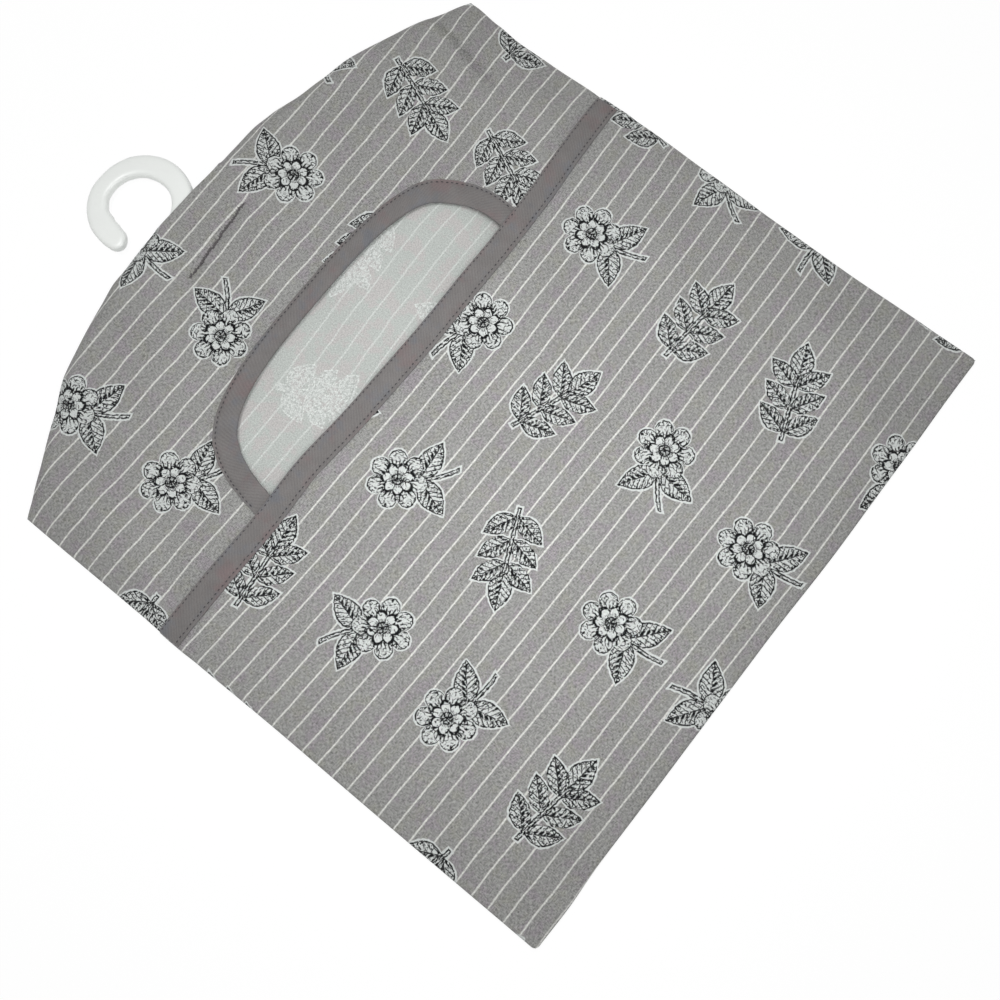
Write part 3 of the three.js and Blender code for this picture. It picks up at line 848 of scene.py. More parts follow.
class Paint:
    """The nodes of a material, or of the world."""

    def __init__(self, owner):
        self.owner = owner
        owner.use_nodes = True
        self.tree = owner.node_tree
        self.tree.nodes.clear()

    def node(self, kind, values=None, sockets=None):
        """Adds a node, sets its own values first, then fills or links its sockets."""
        made = self.tree.nodes.new(kind)
        for name, value in (values or {}).items():
            setattr(made, name, value)
        for name, value in (sockets or {}).items():
            socket = made.inputs[name]
            if isinstance(value, Number):
                value = value.socket
            if isinstance(value, NodeSocket):
                self.tree.links.new(value, socket)
            else:
                socket.default_value = value
        return made

    def maths(self, operation, *values):
        node = self.node("ShaderNodeMath", {"operation": operation}, dict(enumerate(values)))
        return Number(self, node.outputs[0])

    def numbers(self, kind, source):
        """The parts of a vector or a colour."""
        split = self.node(kind, None, {0: source})
        return [Number(self, socket) for socket in split.outputs]

    def point(self, x, y):
        return self.node("ShaderNodeCombineXYZ", None, {0: x, 1: y}).outputs[0]

    def cloth_place(self):
        """Place on the flat cloth, in millimetres."""
        place = self.node("ShaderNodeUVMap", {"uv_map": CLOTH_MAP}).outputs[0]
        u, v, _ = self.numbers("ShaderNodeSeparateXYZ", place)
        return u * 1000, v * 1000

    def noise(self, x, y, size, detail=2.0, roughness=0.5, lift=0.0):
        """Cloudy value from 0 to 1 whose patches are about that size."""
        sockets = {"Vector": self.point(x + lift, y + lift), "Scale": 1 / size, "Detail": detail}
        sockets["Roughness"] = roughness
        node = self.node("ShaderNodeTexNoise", {"noise_dimensions": "2D"}, sockets)
        return Number(self, node.outputs[0])

    def sway(self, x, y, size, reach):
        """Drift to either side of 0, over places about that far apart."""
        return (self.noise(x, y, size, 1.0) - 0.5) * reach

    def solid_noise(self, size, detail):
        """The same in the round, on the object's own coordinates in metres."""
        place = self.node("ShaderNodeTexCoord").outputs["Object"]
        sockets = {"Vector": place, "Scale": 1 / (size * MM), "Detail": detail}
        return Number(self, self.node("ShaderNodeTexNoise", None, sockets).outputs[0])

    def chance(self, column, row):
        """Three fixed random values for a cell."""
        cell = {"Vector": self.point(column, row)}
        node = self.node("ShaderNodeTexWhiteNoise", {"noise_dimensions": "2D"}, cell)
        return self.numbers("ShaderNodeSeparateColor", node.outputs["Color"])

    def mix(self, share, first, second):
        """Colour that goes from the first to the second."""
        sockets = {0: share, 6: first, 7: second}
        return self.node("ShaderNodeMix", {"data_type": "RGBA"}, sockets).outputs[2]

    def tone(self, colour, value):
        """The colour made lighter or darker by a value about 1."""
        if not isinstance(colour, NodeSocket):
            colour = colour[:3]
        sockets = {0: colour, "Scale": value}
        return self.node("ShaderNodeVectorMath", {"operation": "SCALE"}, sockets).outputs[0]

    def shader(self, colour, roughness, specular=0.5, **sockets):
        """A Principled shader."""
        sockets |= {"Base Color": colour, "Roughness": roughness, "Specular IOR Level": specular}
        return self.node("ShaderNodeBsdfPrincipled", None, sockets).outputs[0]

    def end(self, shader):
        self.node("ShaderNodeOutputMaterial", None, {"Surface": shader})
        return self.owner

    def finish(self, colour, roughness, height, depth, strength, specular=0.5, sheen=0.0):
        """Ends in a Principled shader, with a bump of that depth in millimetres."""
        bump = {"Height": height, "Distance": depth * MM, "Strength": strength}
        sockets = {"Normal": self.node("ShaderNodeBump", None, bump).outputs[0]}
        sockets["Sheen Weight"] = sheen
        return self.end(self.shader(colour, roughness, specular, **sockets))


def turned(x, y, cosine, sine):
    """A place on axes that are turned by an angle."""
    return x * cosine + y * sine, y * cosine - x * sine


def tilted(x, y, degrees):
    tilt = math.radians(degrees)
    return turned(x, y, math.cos(tilt), math.sin(tilt))


def leaf(along, aside, length, half):
    """Fullness of a leaf, above 0 inside it, and its veins and hatching as ink."""
    away = abs(aside)
    share = (along * (2 / length) - 1).most(-1.6).least(1.6)
    width = (1 - share * share) * (1 - share * 0.25) * half
    slant = (along - away * 0.9) / 2.7
    ribs = abs(slant.fraction() - 0.5).fall(0.07, 0.17) * away.rise(0.2, 0.6)
    lights = abs((slant + 0.5).fraction() - 0.5).fall(0.1, 0.2)
    shaded = aside.rise(0.1, 0.4) * (width * 0.4 - away).rise(-0.4, 0.4) * (1 - lights)
    return width - away, away.fall(0.2, 0.46).most(ribs).most(shaded)


LEAF_STEP = 11.5


def spray(x, y):
    """A sprig of paired leaves on a stem: fullness and ink."""
    side = abs(x)
    number = ((y - side * math.tan(math.radians(38))) / LEAF_STEP + 0.5).floor()
    along, aside = tilted(side, y - number.most(-2.0).least(0.0) * LEAF_STEP, 38)
    pair, pair_ink = leaf(along - 0.6, aside, 17.5, 4.7)
    tip, tip_ink = leaf(y - 4.5, x, 19.0, 5.4)
    stem = (0.75 - side).least(y + 27).least(9 - y)
    front = tip.inside()
    ink = pair_ink * pair.rise(0, 0.1) * (1 - front) + tip_ink * front
    return pair.most(tip).most(stem), ink.most(pair.line() * (1 - front)).most(tip.line())


def bloom(paint, x, y):
    """A flower with two leaves under it: fullness and ink."""
    rise = y - 6.5
    reach = (x * x + rise * rise) ** 0.5
    turn = paint.maths("ARCTAN2", rise, x)
    lobe = abs((turn * 3.5).cosine())
    inner_lobe = abs((turn * 3.5).sine())
    outer = lobe**0.6 * 5.2 + 9.4 - reach
    inner = inner_lobe**0.6 * 3.0 + 4.6 - reach
    heart = 2.7 - reach
    within, around = inner.inside(), 1 - inner.inside()
    parting = (lobe * reach).fall(0.45, 1.05) * around
    inner_parting = (inner_lobe * reach).fall(0.35, 0.85) * within
    rays = abs((turn * 5.1).fraction() - 0.5).fall(0.12, 0.26)
    shaded = (inner + 3.9).rise(-0.6, 1.0) * around
    solid = (inner + 1.3).rise(-0.3, 0.3) * around
    inner_shaded = (heart + 1.7).rise(-0.3, 0.5) * within
    dots = paint.noise(x, y, 0.9, 0.0).rise(0.44, 0.5) * heart.rise(0, 0.4)
    ink = parting.most(inner_parting).most(rays * shaded).most(solid).most(rays * inner_shaded)
    ink = ink.most(dots).most(abs(inner).fall(0.26, 0.52)).most(abs(heart).fall(0.22, 0.5))
    low = y + 4
    blade, blade_ink = leaf(*tilted(abs(x), low, -32), 21.0, 5.6)
    stem = (0.8 - abs(x - low * low * 0.012)).least(y + 23).least(-2 - y)
    front = outer.inside()
    behind = blade_ink.most(blade.line()) * blade.rise(-0.5, 0) * (1 - front)
    return outer.most(blade).most(stem), (ink * front + behind).most(outer.line())


STRIPE_START = 8.9
MOTIF_START = 0.05
MOTIF_STRAY = (12, 7)
BLOOM_SHARE = 0.47


def printed_pattern(paint, u, v):
    """Stripes, and the sprigs' white and ink, as shares from 0 to 1."""
    size = bpy.context.scene.print_sizes
    wander = paint.sway(u, v, 85.0, 3.4) + paint.sway(u, v, 19.0, 1.4)
    loose = v.rise(222, 242) * 0.7 + 0.3
    line = (v + wander * loose - STRIPE_START) / size.stripe_pitch + 0.5
    from_line = abs(line.fraction() - 0.5) * size.stripe_pitch
    half = size.stripe_width / 2
    stripe = (from_line + paint.sway(u, v, 0.9, 0.35)).fall(half - 0.16, half + 0.16)
    across = u / size.motif_across + MOTIF_START
    column = across.floor()
    along = v / size.motif_along + (column * 0.5).fraction()
    row = along.floor()
    first, second, third = paint.chance(column, row)
    x = (across - column - 0.5) * size.motif_across + (first - 0.5) * MOTIF_STRAY[0]
    y = (along - row - 0.5) * size.motif_along + (second - 0.5) * MOTIF_STRAY[1]
    turn = third * 2 * math.pi
    across, along = turned(x, y, turn.cosine(), turn.sine())
    across, along = across + paint.sway(u, v, 1.7, 0.9), along + paint.sway(u, v, 2.1, 0.9)
    kind = (first * 7.3).fraction().rise(BLOOM_SHARE, BLOOM_SHARE + 0.01)
    spray_full, spray_ink = spray(across, along)
    bloom_full, bloom_ink = bloom(paint, across, along + 0.5)
    fullness = spray_full * kind + bloom_full * (1 - kind)
    ink = spray_ink * kind + bloom_ink * (1 - kind)
    outline = abs(fullness).fall(0.22, 0.46)
    flecks = paint.noise(across * 1.7, along * 0.7, 1.1, 1.0).rise(0.56, 0.6)
    flecks = flecks * fullness.fall(1.2, 5.2) * fullness.rise(0, 0.2)
    curls = abs(paint.noise(u, v, 2.6, 0.0) - 0.5).fall(0.035, 0.06)
    curls = curls * paint.noise(u, v, 1.9, 0.0, 0.5, 43.0).rise(0.49, 0.53)
    curls = curls * fullness.rise(0.3, 0.6)
    worn = paint.noise(u, v, 1.3, 2.0).rise(0.3, 0.4)
    ink = (ink * worn).most(outline * worn).most(flecks).most(curls) * fullness.rise(-0.7, -0.5)
    return stripe, fullness.rise(-1.4, -1.2), ink


def weave(u, v):
    """Threads of the canvas over and under each other, from 0 to 1."""
    pitch = bpy.context.scene.print_sizes.thread_pitch
    warp = abs((u * (math.pi / pitch)).sine())
    weft = abs((v * (math.pi / pitch)).sine())
    over = (((u / pitch).floor() + (v / pitch).floor()) * 0.5).fraction() * 2
    return warp * over + weft * (1 - over)


def start_paint(name):
    """A new material's nodes, and the colours it may use."""
    return Paint(bpy.data.materials.new(name)), bpy.context.scene.bag_colours


def canvas_material(name):
    """Right side of the cloth: grey ground, stripes and sprigs over the weave, with painted shade
    along the fold below the right shoulder.
    """
    paint, colours = start_paint(name)
    u, v = paint.cloth_place()
    stripe, white, ink = printed_pattern(paint, u, v)
    threads = weave(u, v)
    mauve = paint.noise(u, v, 11.0, 3.0, 0.65).rise(0.48, 0.68) * 0.9
    olive = paint.noise(u, v, 9.0, 3.0, 0.65, 70.0).rise(0.5, 0.7) * 0.8
    slubs = paint.noise(u * 0.55, v * 1.7, 0.9, 2.0, 0.7)
    grain = (slubs + paint.noise(u * 1.7, v * 0.55, 0.9, 2.0, 0.7, 8.0)) * 0.5
    clouds = paint.noise(u, v, 26.0, 3.0, 0.5, 90.0)
    colour = paint.mix(mauve, colours.ground, colours.ground_mauve)
    colour = paint.mix(olive, colour, colours.ground_olive)
    worn = grain.rise(0.2, 0.5) * 0.25 + 0.75
    colour = paint.mix(stripe * worn, colour, colours.stripe)
    colour = paint.mix(white * 0.96, colour, colours.motif)
    colour = paint.mix(ink, colour, colours.ink)
    plain = 1 - (white * (1 - ink)).most(stripe * 0.7) * 0.7
    value = 0.98 + ((grain - 0.5) * 2.9 + (threads - 0.64) * 0.14) * plain + (clouds - 0.5) * 0.16
    # Painted shade: mottled darker colour along the fold below the right shoulder, where the
    # crease's shade falls.
    painted_crease_shade = abs(beside_crease(u, v)).fall(0.6, 4.4) * v.rise(262, 290) * v.fall(318, 336)
    value = value - painted_crease_shade * paint.noise(u, v, 6.0, 2.0, 0.5, 33.0).rise(0.28, 0.58) * 0.17
    colour = paint.tone(colour, value)
    return paint.finish(colour, 0.92, threads + grain * 0.7, 0.12, 0.55, 0.25, sheen=0.08)


def wrong_side_material(name):
    """Unprinted side: pale, with the print showing faintly through."""
    paint, colours = start_paint(name)
    u, v = paint.cloth_place()
    stripe, white, ink = printed_pattern(paint, u, v)
    threads = weave(u, v)
    grain = paint.noise(u, v * 1.3, 0.8, 2.0, 0.7)
    speckle = paint.noise(u, v, 1.5, 3.0, 0.7)
    clouds = paint.noise(u, v, 34.0, 2.0)
    warm = paint.noise(u, v, 12.0, 3.0, 0.65, 30.0).rise(0.44, 0.6)
    ghost = white * (0.15 + speckle.rise(0.42, 0.56) * 0.85)
    colour = paint.mix(warm, colours.wrong, colours.wrong_warm)
    colour = paint.mix(stripe * 0.6, colour, colours.wrong_pale)
    colour = paint.mix(ghost, colour, colours.wrong_pale)
    value = 0.99 + (grain - 0.5) * 0.95 + (clouds - 0.5) * 0.08 + (threads - 0.64) * 0.08
    value = value - ink * white * 0.12
    colour = paint.tone(colour, value)
    return paint.finish(colour, 0.94, threads + grain * 0.8, 0.12, 0.6, 0.2)


def tape_material(name):
    """Bias tape: grey twill lines across its length, with mauve and blue patches."""
    paint, colours = start_paint(name)
    u, v = paint.cloth_place()
    lines = (((u + v) * 0.95 + (paint.noise(u, v, 3.0) - 0.5) * 0.8) * (2 * math.pi / 1.85)).sine()
    fine = (((u - v) / 0.42) * math.pi).sine()
    warm = paint.noise(u, v, 17.0, 3.0, 0.6).rise(0.5, 0.75)
    cool = paint.noise(u, v, 14.0, 3.0, 0.6, 50.0).rise(0.5, 0.75)
    grain = paint.noise(u, v, 0.7, 2.0, 0.7)
    colour = paint.mix(warm, colours.tape, colours.tape_warm)
    colour = paint.mix(cool, colour, colours.tape_cool)
    clouds = paint.noise(u, v, 7.5, 2.0, 0.5, 20.0)
    value = 1 + lines * 0.055 + fine * 0.03 + (grain - 0.5) * 0.45 + (clouds - 0.5) * 0.26
    height = lines * 0.4 + fine * 0.2 + grain * 0.5
    return paint.finish(paint.tone(colour, value), 0.88, height, 0.14, 0.5, 0.3, sheen=0.1)


THREAD_COLOURS = {
    "sewing_thread": "thread", "tacking_thread": "tacking", "overlock_thread": "wrong_pale",
}


def thread_material(name):
    """Spun thread: its fibres show as short lights."""
    paint, colours = start_paint(name)
    fibre = paint.solid_noise(0.25, 3.0)
    lustre = paint.solid_noise(1.8, 1.0)
    colour = getattr(colours, THREAD_COLOURS[name])
    tint = paint.tone(colour, 0.72 + fibre * 0.4 + lustre * 0.16)
    return paint.finish(tint, 0.62 + fibre * 0.2, fibre, 0.08, 0.6)


def plastic_material(name):
    """White moulded plastic with faint flow marks and a soft gloss."""
    paint, colours = start_paint(name)
    cloud = paint.solid_noise(14.0, 2.0)
    skin = paint.solid_noise(0.9, 3.0)
    scuffs = paint.solid_noise(3.2, 4.0).rise(0.56, 0.72)
    tint = paint.tone(colours.plastic, 0.975 + cloud * 0.05)
    roughness = 0.3 + skin * 0.1 + scuffs * 0.14
    return paint.finish(tint, roughness, skin + scuffs * 0.5, 0.05, 0.25, 0.9)


MAKERS = {
    "striped_canvas": canvas_material,
    "canvas_wrong_side": wrong_side_material,
    "grey_bias_tape": tape_material,
    "moulded_plastic": plastic_material,
}


def material(name):
    """The material of that name, made the first time it is asked for."""
    return bpy.data.materials.get(name) or MAKERS.get(name, thread_material)(name)


# Pieces

TURN_ROWS = len(NEAR_EDGE)
DOME_ROWS_FROM = 20
BEHIND_BAND = 10.5


class PEGBAG_OT_back_cloth(Operator):
    """Lays the back's cloth, printed underneath and pale inside"""

    bl_idname = "pegbag.back_cloth"
    bl_label = "Back cloth"

    def execute(self, context):
        size = context.scene.bag_sizes
        start = size.side - DOME_ROWS_FROM
        rows = [level_row(v) for v in cloth_stops(0, start, size.grid)[:-TURN_ROWS]]
        piece, u, v = add_cloth("back_cloth", rows + dome_rows(start, size.grid), back_face)
        map_cloth(piece, u, v - 1.8 - 4.7 * smooth(-75, 60, u))
        face_up(piece, False)
        finish_cloth(piece, "back_panel")
        return {"FINISHED"}


class PEGBAG_OT_lower_cloth(Operator):
    """Lays the pocket's front from the bottom seam up into the band"""

    bl_idname = "pegbag.lower_cloth"
    bl_label = "Pocket cloth"

    def execute(self, context):
        size = context.scene.bag_sizes
        top = size.band_top - 0.9
        places = np.append(cloth_stops(0, top, size.grid)[:-TURN_ROWS], top)
        rows = [level_row(v, smooth(60, size.band_top, v)) for v in places]
        piece, u, v = add_cloth("lower_front_cloth", rows, lower_face)
        map_cloth(piece, u, v - off_straight(POCKET_PRINT, u, v))
        face_up(piece)
        finish_cloth(piece, "lower_front_panel")
        return {"FINISHED"}


class PEGBAG_OT_upper_cloth(Operator):
    """Lays the front above the band, with its mouth cut out and its neck hemmed"""

    bl_idname = "pegbag.upper_cloth"
    bl_label = "Upper cloth"

    def execute(self, context):
        size = context.scene.bag_sizes
        top, start = size.band_top, size.side - DOME_ROWS_FROM
        places = [*np.arange(top - BEHIND_BAND, top, 2), *np.arange(top + 1, start, size.grid)]
        rows = [level_row(v, 1 - smooth(top, start, v)) for v in places]
        piece, u, v = add_cloth("upper_front_cloth", rows + dome_rows(start, size.grid), upper_face)
        hem = size.neck_hem * (1 - sewn_share(u))
        v = v - hem * smooth(9, 0, dome(u) - v)
        put_sewn(piece, u, v, upper_face(u, v))
        map_cloth(piece, u, v - off_straight(TOP_PRINT, u, v))
        delete_faces(piece, in_mouth)
        face_up(piece)
        finish_cloth(piece, "upper_front_panel")
        return {"FINISHED"}


TAPE_DROPS = np.array([8.5, 6.5, 4.5, 2.5, 1.0])


class PEGBAG_OT_mouth_tape(Operator):
    """Folds the bias tape round the mouth and tucks its ends behind the band"""

    bl_idname = "pegbag.mouth_tape"
    bl_label = "Mouth tape"

    def execute(self, context):
        size = context.scene.bag_sizes
        angles = mouth_angles()
        outer = mouth_path(size.binding_side, size.binding_top, angles)
        path = np.column_stack([*mouth_path(0, 0, angles), *outer])
        lead = np.repeat(path[:1], len(TAPE_DROPS), axis=0)
        tail = np.repeat(path[-1:], len(TAPE_DROPS), axis=0)
        lead[:, [1, 3]] -= TAPE_DROPS[:, None]
        tail[:, [1, 3]] -= TAPE_DROPS[::-1, None]
        profile = tape_profile(size.binding_top, 0.22, 1.2)
        path = np.concatenate([lead, path, tail])
        sweep_tape("mouth_tape", path, profile, upper_face, "mouth_binding")
        return {"FINISHED"}


class PEGBAG_OT_band_tape(Operator):
    """Folds the tape over the pocket's top edge"""

    bl_idname = "pegbag.band_tape"
    bl_label = "Band tape"

    def execute(self, context):
        size = context.scene.bag_sizes
        u = cloth_stops(-HALF_WIDTH + 1.1, HALF_WIDTH - 2.4, 1.5)
        fold = size.band_top + band_line(u)
        path = np.column_stack([u, fold, u, fold - size.band_width])
        profile = tape_profile(size.band_width, 0.2, 2.0, fold_row=True)
        sweep_tape("band_tape", path, profile, lower_face, "front_band")
        return {"FINISHED"}


class PEGBAG_OT_stitches(Operator):
    """Sews the rows of dark stitches along the tapes"""

    bl_idname = "pegbag.stitches"
    bl_label = "Tape stitches"

    def execute(self, context):
        size = context.scene.bag_sizes
        u = np.linspace(-HALF_WIDTH + 1.6, HALF_WIDTH - 2.9, 700)
        fold = size.band_top + band_line(u)
        line = mouth_path(size.binding_side - 1.2, size.binding_top - 1.2, mouth_angles())
        shown = line[1] > size.band_top + 1
        rows = {
            "band_upper_stitches": (u, fold - 1.1, lower_face, 0.62),
            "band_lower_stitches": (u, fold - size.band_width + 2.0, lower_face, 0.46),
            "mouth_stitches": (line[0][shown], line[1][shown], upper_face, 0.52),
        }
        for name, run in rows.items():
            thickness = context.scene.thread_sizes.thread
            row = sew(name, stitch_ends(*run), thickness, "sewing_thread")
            finish_piece(row, "dark_thread", "bag")
        return {"FINISHED"}


TACK_SWINGS = (0.7, -0.62)
TACK_LIFT = 0.18


def tack_point(share, aside, rise):
    """Point beside the row of tacking, on the upper cloth."""
    square = np.array([-TACK_RUN[1], TACK_RUN[0]]) / np.hypot(*TACK_RUN)
    share = np.clip(share, 0, 1)
    wander = 0.28 * math.sin(share * 21 + 1) + 0.18 * math.sin(share * 57)
    return on_face(*(TACK_START + TACK_RUN * share + square * (aside + wander)), upper_face, rise)


class PEGBAG_OT_tack(Operator):
    """Sews the row of tacking that holds the hanger in the top of the bag"""

    bl_idname = "pegbag.tack"
    bl_label = "Hanger tack"

    def execute(self, context):
        size = context.scene.thread_sizes
        ends = []
        for layer, swing in enumerate(TACK_SWINGS):
            for number in range(size.tack_stitches):
                share = (number + 0.5 * layer) / size.tack_stitches
                thick = 0.7 + 0.45 * math.sin(math.pi * min(share + 0.02, 1)) ** 0.6
                wobble = 1 + 0.5 * math.sin(number * 2.7 + layer)
                first = tack_point(share - 0.012, swing * wobble, TACK_LIFT)
                last = tack_point(share + 0.03, -swing * wobble, TACK_LIFT)
                ends.append((first, last, thick * (1 + 0.5 * math.sin(number * 4.1 + layer))))
        for number in range(size.tack_hairs):
            share = (number * 0.618) % 1
            reach = 0.7 + 0.5 * math.sin(number * 5.3)
            first = tack_point(share, 0.1 * math.sin(number * 1.9), 0.3)
            last = tack_point(share + 0.018 * math.sin(number * 2.3), reach * (-1) ** number, 0.5)
            ends.append((first, last, 0.3))
        row = sew("hanger_tack_stitches", ends, size.tack_thread, "tacking_thread")
        finish_piece(row, "dark_thread", "bag", "hanger_tack")
        return {"FINISHED"}


SEAM_INSET = 1.1
SEAM_MIDDLE = 1.42
SEAM_STEP = 3


def allowance_strip(name, line, inward):
    """Two leaves of raw canvas, one on the other, along a line and inward from it."""
    piece, station, depth = add_grid(name, len(line) - 1, 6)
    share = depth / 6
    u, v = (line[station] + inward[station] * (share * bag().allowance)[:, None]).T
    put_sewn(piece, u, v, SEAM_MIDDLE + 0.12 * np.sin(station * 0.9) * share)
    map_cloth(piece, u, v)
    face_up(piece)
    thicken(piece, 0.9, material("canvas_wrong_side"), offset=0)
    return piece


def overlock_ends(line, inward, pitch=3.0):
    """Threads that slant over the raw edge and back."""
    run = run_along(*line.T)
    ends = []
    for number in range(int(run[-1] / pitch)):
        points = []
        for place, depth, z in ((0.0, 2.6, 2.0), (0.5, 0.0, 1.5), (1.0, 2.6, 2.0)):
            at = (number + place) * pitch
            turn = at_run(at, run, inward)
            points.append((*(at_run(at, run, line) + turn * (bag().allowance - depth)), z))
        ends += [(*points[:2], 1.0), (*points[1:], 1.0)]
    return ends


class PEGBAG_OT_seams(Operator):
    """Turns in the seam allowances and overlocks their raw edges"""

    bl_idname = "pegbag.seams"
    bl_label = "Seam allowances"

    def execute(self, context):
        size = context.scene.bag_sizes
        high = np.arange(8.0, size.side - 7, SEAM_STEP)
        wide = np.arange(-HALF_WIDTH + 3, HALF_WIDTH - 2, SEAM_STEP)
        sides, shoulders = {}, {}
        for side, name in ((-1, "left"), (1, "right")):
            beside = high * 0 + side * (HALF_WIDTH - SEAM_INSET)
            sides[name + "_side_seam"] = (beside, high, (-side, 0))
            u = side * np.arange(size.neck / 2 + 1, HALF_WIDTH - 2, SEAM_STEP)
            slope = dome_slope(u)
            normal = np.column_stack([slope, -np.ones_like(u)]) / np.hypot(slope, 1)[:, None]
            line = np.column_stack([u, dome(u)]) + normal * SEAM_INSET
            shoulders[name + "_shoulder_seam"] = (*line.T, normal)
        seams = {**sides, "bottom_seam": (wide, wide * 0 + SEAM_INSET, (0, 1)), **shoulders}
        for name, (u, v, inward) in seams.items():
            line = np.column_stack([u, v])
            inward = np.broadcast_to(np.array(inward, dtype=float), line.shape)
            strip = allowance_strip(name + "_allowance", line, inward)
            finish_piece(strip, "overlocked_edge", "bag", name)
            thickness = context.scene.thread_sizes.edge_thread
            ends = overlock_ends(line, inward)
            loops = sew(name + "_overlock", ends, thickness, "overlock_thread")
            finish_piece(loops, "overlocked_edge", "bag")
        return {"FINISHED"}


MERGE_WITHIN, VOXEL = 0.00001, 0.00055
HOOK_CENTRE = (-19.3, 381.3)
HOOK_RADIUS = 22.3
HOOK_HALF = 5.9
HOOK_SHAPE = np.array([
    [-30, 0.0, 0.0], [10, 0.4, 0.5], [50, -0.3, 0.1], [70, -0.7, -0.5], [90, -1.1, -0.8],
    [110, -1.4, -0.1], [130, -0.4, 0.1], [152, 2.0, 0.0], [170, 2.8, -0.5], [190, 1.8, -0.7],
])


class PEGBAG_OT_hanger(Operator):
    """Rounds the moulded hanger from a copy of its frame solid"""

    bl_idname = "pegbag.hanger"
    bl_label = "Hanger"

    def execute(self, context):
        piece = bpy.data.objects.new("moulded_hanger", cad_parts["hanger"].data.copy())
        context.scene.collection.objects.link(piece)
        pick(piece)
        to_mode("EDIT")
        bpy.ops.mesh.select_all(action="SELECT")
        bpy.ops.mesh.remove_doubles(threshold=MERGE_WITHIN)
        bpy.ops.mesh.normals_make_consistent(inside=False)
        to_mode("OBJECT")
        modify(piece, "REMESH", mode="VOXEL", voxel_size=VOXEL)
        crown_hook(piece)
        modify(piece, "SMOOTH", factor=0.5, iterations=6)
        dress(piece, material("moulded_plastic"))
        shade(piece, 60)
        finish_piece(piece, "white_plastic", "hanger_unit", "hanger")
        return {"FINISHED"}


def crown_hook(piece):
    """Makes the hook's faces convex across its width, and its width uneven along it.

    HOOK_SHAPE gives, at each angle, how far its inner and its outer edge lie outward."""
    points = points_of(piece) / MM
    u, v, z = points[:, 0], points[:, 1] - BOTTOM_EDGE, points[:, 2]
    middle = (z.max() + z.min()) / 2
    across, along = u - HOOK_CENTRE[0], v - HOOK_CENTRE[1]
    reach = np.hypot(across, along)
    angle = (np.degrees(np.arctan2(along, across)) + 90) % 360 - 90
    on_hook = smooth(-60, -30, angle) * (np.abs(reach - HOOK_RADIUS) < HOOK_HALF + 0.7)
    share = np.clip((reach - HOOK_RADIUS) / HOOK_HALF, -1, 1)
    flatter = 1 - 0.14 * np.abs(share) ** 3 * on_hook
    inward = between(HOOK_SHAPE[:, [0, 1]], angle) * np.clip(-share, 0, 1)
    outward = between(HOOK_SHAPE[:, [0, 2]], angle) * np.clip(share, 0, 1)
    shift = (outward - inward) * on_hook / reach
    put_points(piece, u + across * shift, v + along * shift, middle + (z - middle) * flatter)


FLOOR_SIZE, FLOOR_LEVEL = 6, -0.0004
LAMPS = {
    "key": ((-0.02, 0.26, 0.96), 0.4, (0, 0, 0)),
    "pool": ((-0.013, -0.075, 0.27), 0.14, (-0.013, -0.075, 0)),
}


class PEGBAG_OT_stage(Operator):
    """Sets the floor, the soft lamps and the camera"""

    bl_idname = "pegbag.stage"
    bl_label = "Stage"

    def execute(self, context):
        stage = context.scene.stage_settings
        start_clean()
        bpy.ops.mesh.primitive_plane_add(size=FLOOR_SIZE, location=(0, 0, FLOOR_LEVEL))
        floor = context.object
        floor.name = "floor"
        dress(floor, floor_material("white_floor"))
        light_world(context.scene, stage.sky)
        for name, (place, size, target) in LAMPS.items():
            add_lamp(name + "_lamp", place, size, getattr(stage, name), target)
        bpy.ops.object.camera_add(location=stage.camera_place)
        camera = context.object
        camera.rotation_euler = Euler(stage.camera_turn)
        camera.data.lens = stage.lens
        camera.data.sensor_width = 36
        camera.data.clip_start = 0.01
        context.scene.camera = camera
        context.scene.view_settings.view_transform = "Standard"
        return {"FINISHED"}


def add_lamp(name, place, size, power, target):
    """A round soft lamp that faces its target."""
    bpy.ops.object.light_add(type="AREA", location=place)
    lamp = bpy.context.object
    lamp.name = name
    lamp.data.shape = "DISK"
    lamp.data.size = size
    lamp.data.energy = power
    lamp.rotation_euler = (Vector(target) - Vector(place)).to_track_quat("-Z", "Y").to_euler()


def seen_directly(paint):
    """1 for what the camera sees, straight or in a gloss or glass."""
    rays = paint.node("ShaderNodeLightPath").outputs
    seen = Number(paint, rays["Is Camera Ray"]).most(Number(paint, rays["Is Glossy Ray"]))
    return seen.most(Number(paint, rays["Is Transmission Ray"]))


def floor_material(name):
    """Pale floor that the camera sees as white, with the bag's soft shadow kept on it."""
    paint, _ = start_paint(name)
    cloud = paint.solid_noise(180.0, 2.0)
    matt = paint.shader(paint.tone(WHITE, 0.86 + cloud * 0.04), 0.9, 0.1)
    glow = paint.node("ShaderNodeEmission", None, {"Color": WHITE, "Strength": 1.04})
    sockets = {0: seen_directly(paint) * 0.9, 1: matt, 2: glow.outputs[0]}
    return paint.end(paint.node("ShaderNodeMixShader", None, sockets).outputs[0])


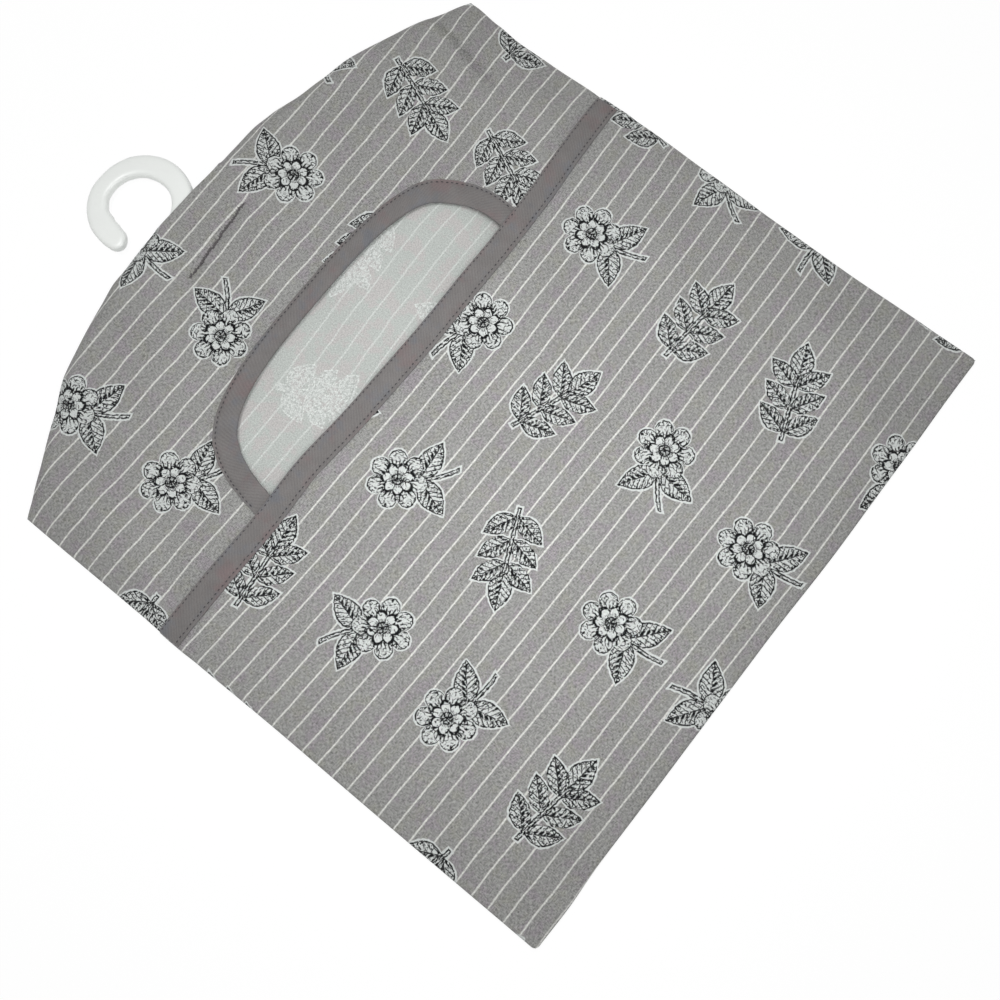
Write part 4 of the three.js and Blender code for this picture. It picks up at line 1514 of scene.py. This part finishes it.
def light_world(scene, strength):
    """Even light all round, and white where the camera looks past the floor."""
    scene.world = bpy.data.worlds.new("studio")
    paint = Paint(scene.world)
    level = seen_directly(paint) * (1 - strength) + strength
    light = paint.node("ShaderNodeBackground", None, {"Color": WHITE, "Strength": level})
    paint.node("ShaderNodeOutputWorld", None, {"Surface": light.outputs[0]})


class PEGBAG_PT_panel(Panel):
    """Lists the steps and the sizes of the bag"""

    bl_idname = "PEGBAG_PT_panel"
    bl_label = "Peg bag"
    bl_space_type = "VIEW_3D"
    bl_region_type = "UI"
    bl_category = "Peg bag"

    def draw(self, context):
        for step in STEPS:
            self.layout.operator(step.bl_idname)
        for name in GROUPS:
            box = self.layout.box()
            group = getattr(context.scene, name)
            for prop in group.bl_rna.properties:
                if prop.identifier not in ("rna_type", "name"):
                    box.prop(group, prop.identifier)


STEPS = (
    PEGBAG_OT_stage,
    PEGBAG_OT_back_cloth,
    PEGBAG_OT_lower_cloth,
    PEGBAG_OT_upper_cloth,
    PEGBAG_OT_mouth_tape,
    PEGBAG_OT_band_tape,
    PEGBAG_OT_stitches,
    PEGBAG_OT_tack,
    PEGBAG_OT_seams,
    PEGBAG_OT_hanger,
)
GROUPS = {
    "bag_sizes": BagSizes,
    "thread_sizes": ThreadSizes,
    "print_sizes": PrintSizes,
    "bag_colours": BagColours,
    "stage_settings": StageSettings,
}


def register():
    for group in GROUPS.values():
        bpy.utils.register_class(group)
    for name, group in GROUPS.items():
        setattr(bpy.types.Scene, name, PointerProperty(type=group))
    for step in STEPS:
        bpy.utils.register_class(step)
    bpy.utils.register_class(PEGBAG_PT_panel)


def unregister():
    bpy.utils.unregister_class(PEGBAG_PT_panel)
    for step in reversed(STEPS):
        bpy.utils.unregister_class(step)
    for name, group in GROUPS.items():
        delattr(bpy.types.Scene, name)
        bpy.utils.unregister_class(group)


def main():
    register()
    for step in STEPS:
        group, name = step.bl_idname.split(".")
        getattr(getattr(bpy.ops, group), name)()


if __name__ == "__main__":
    main()
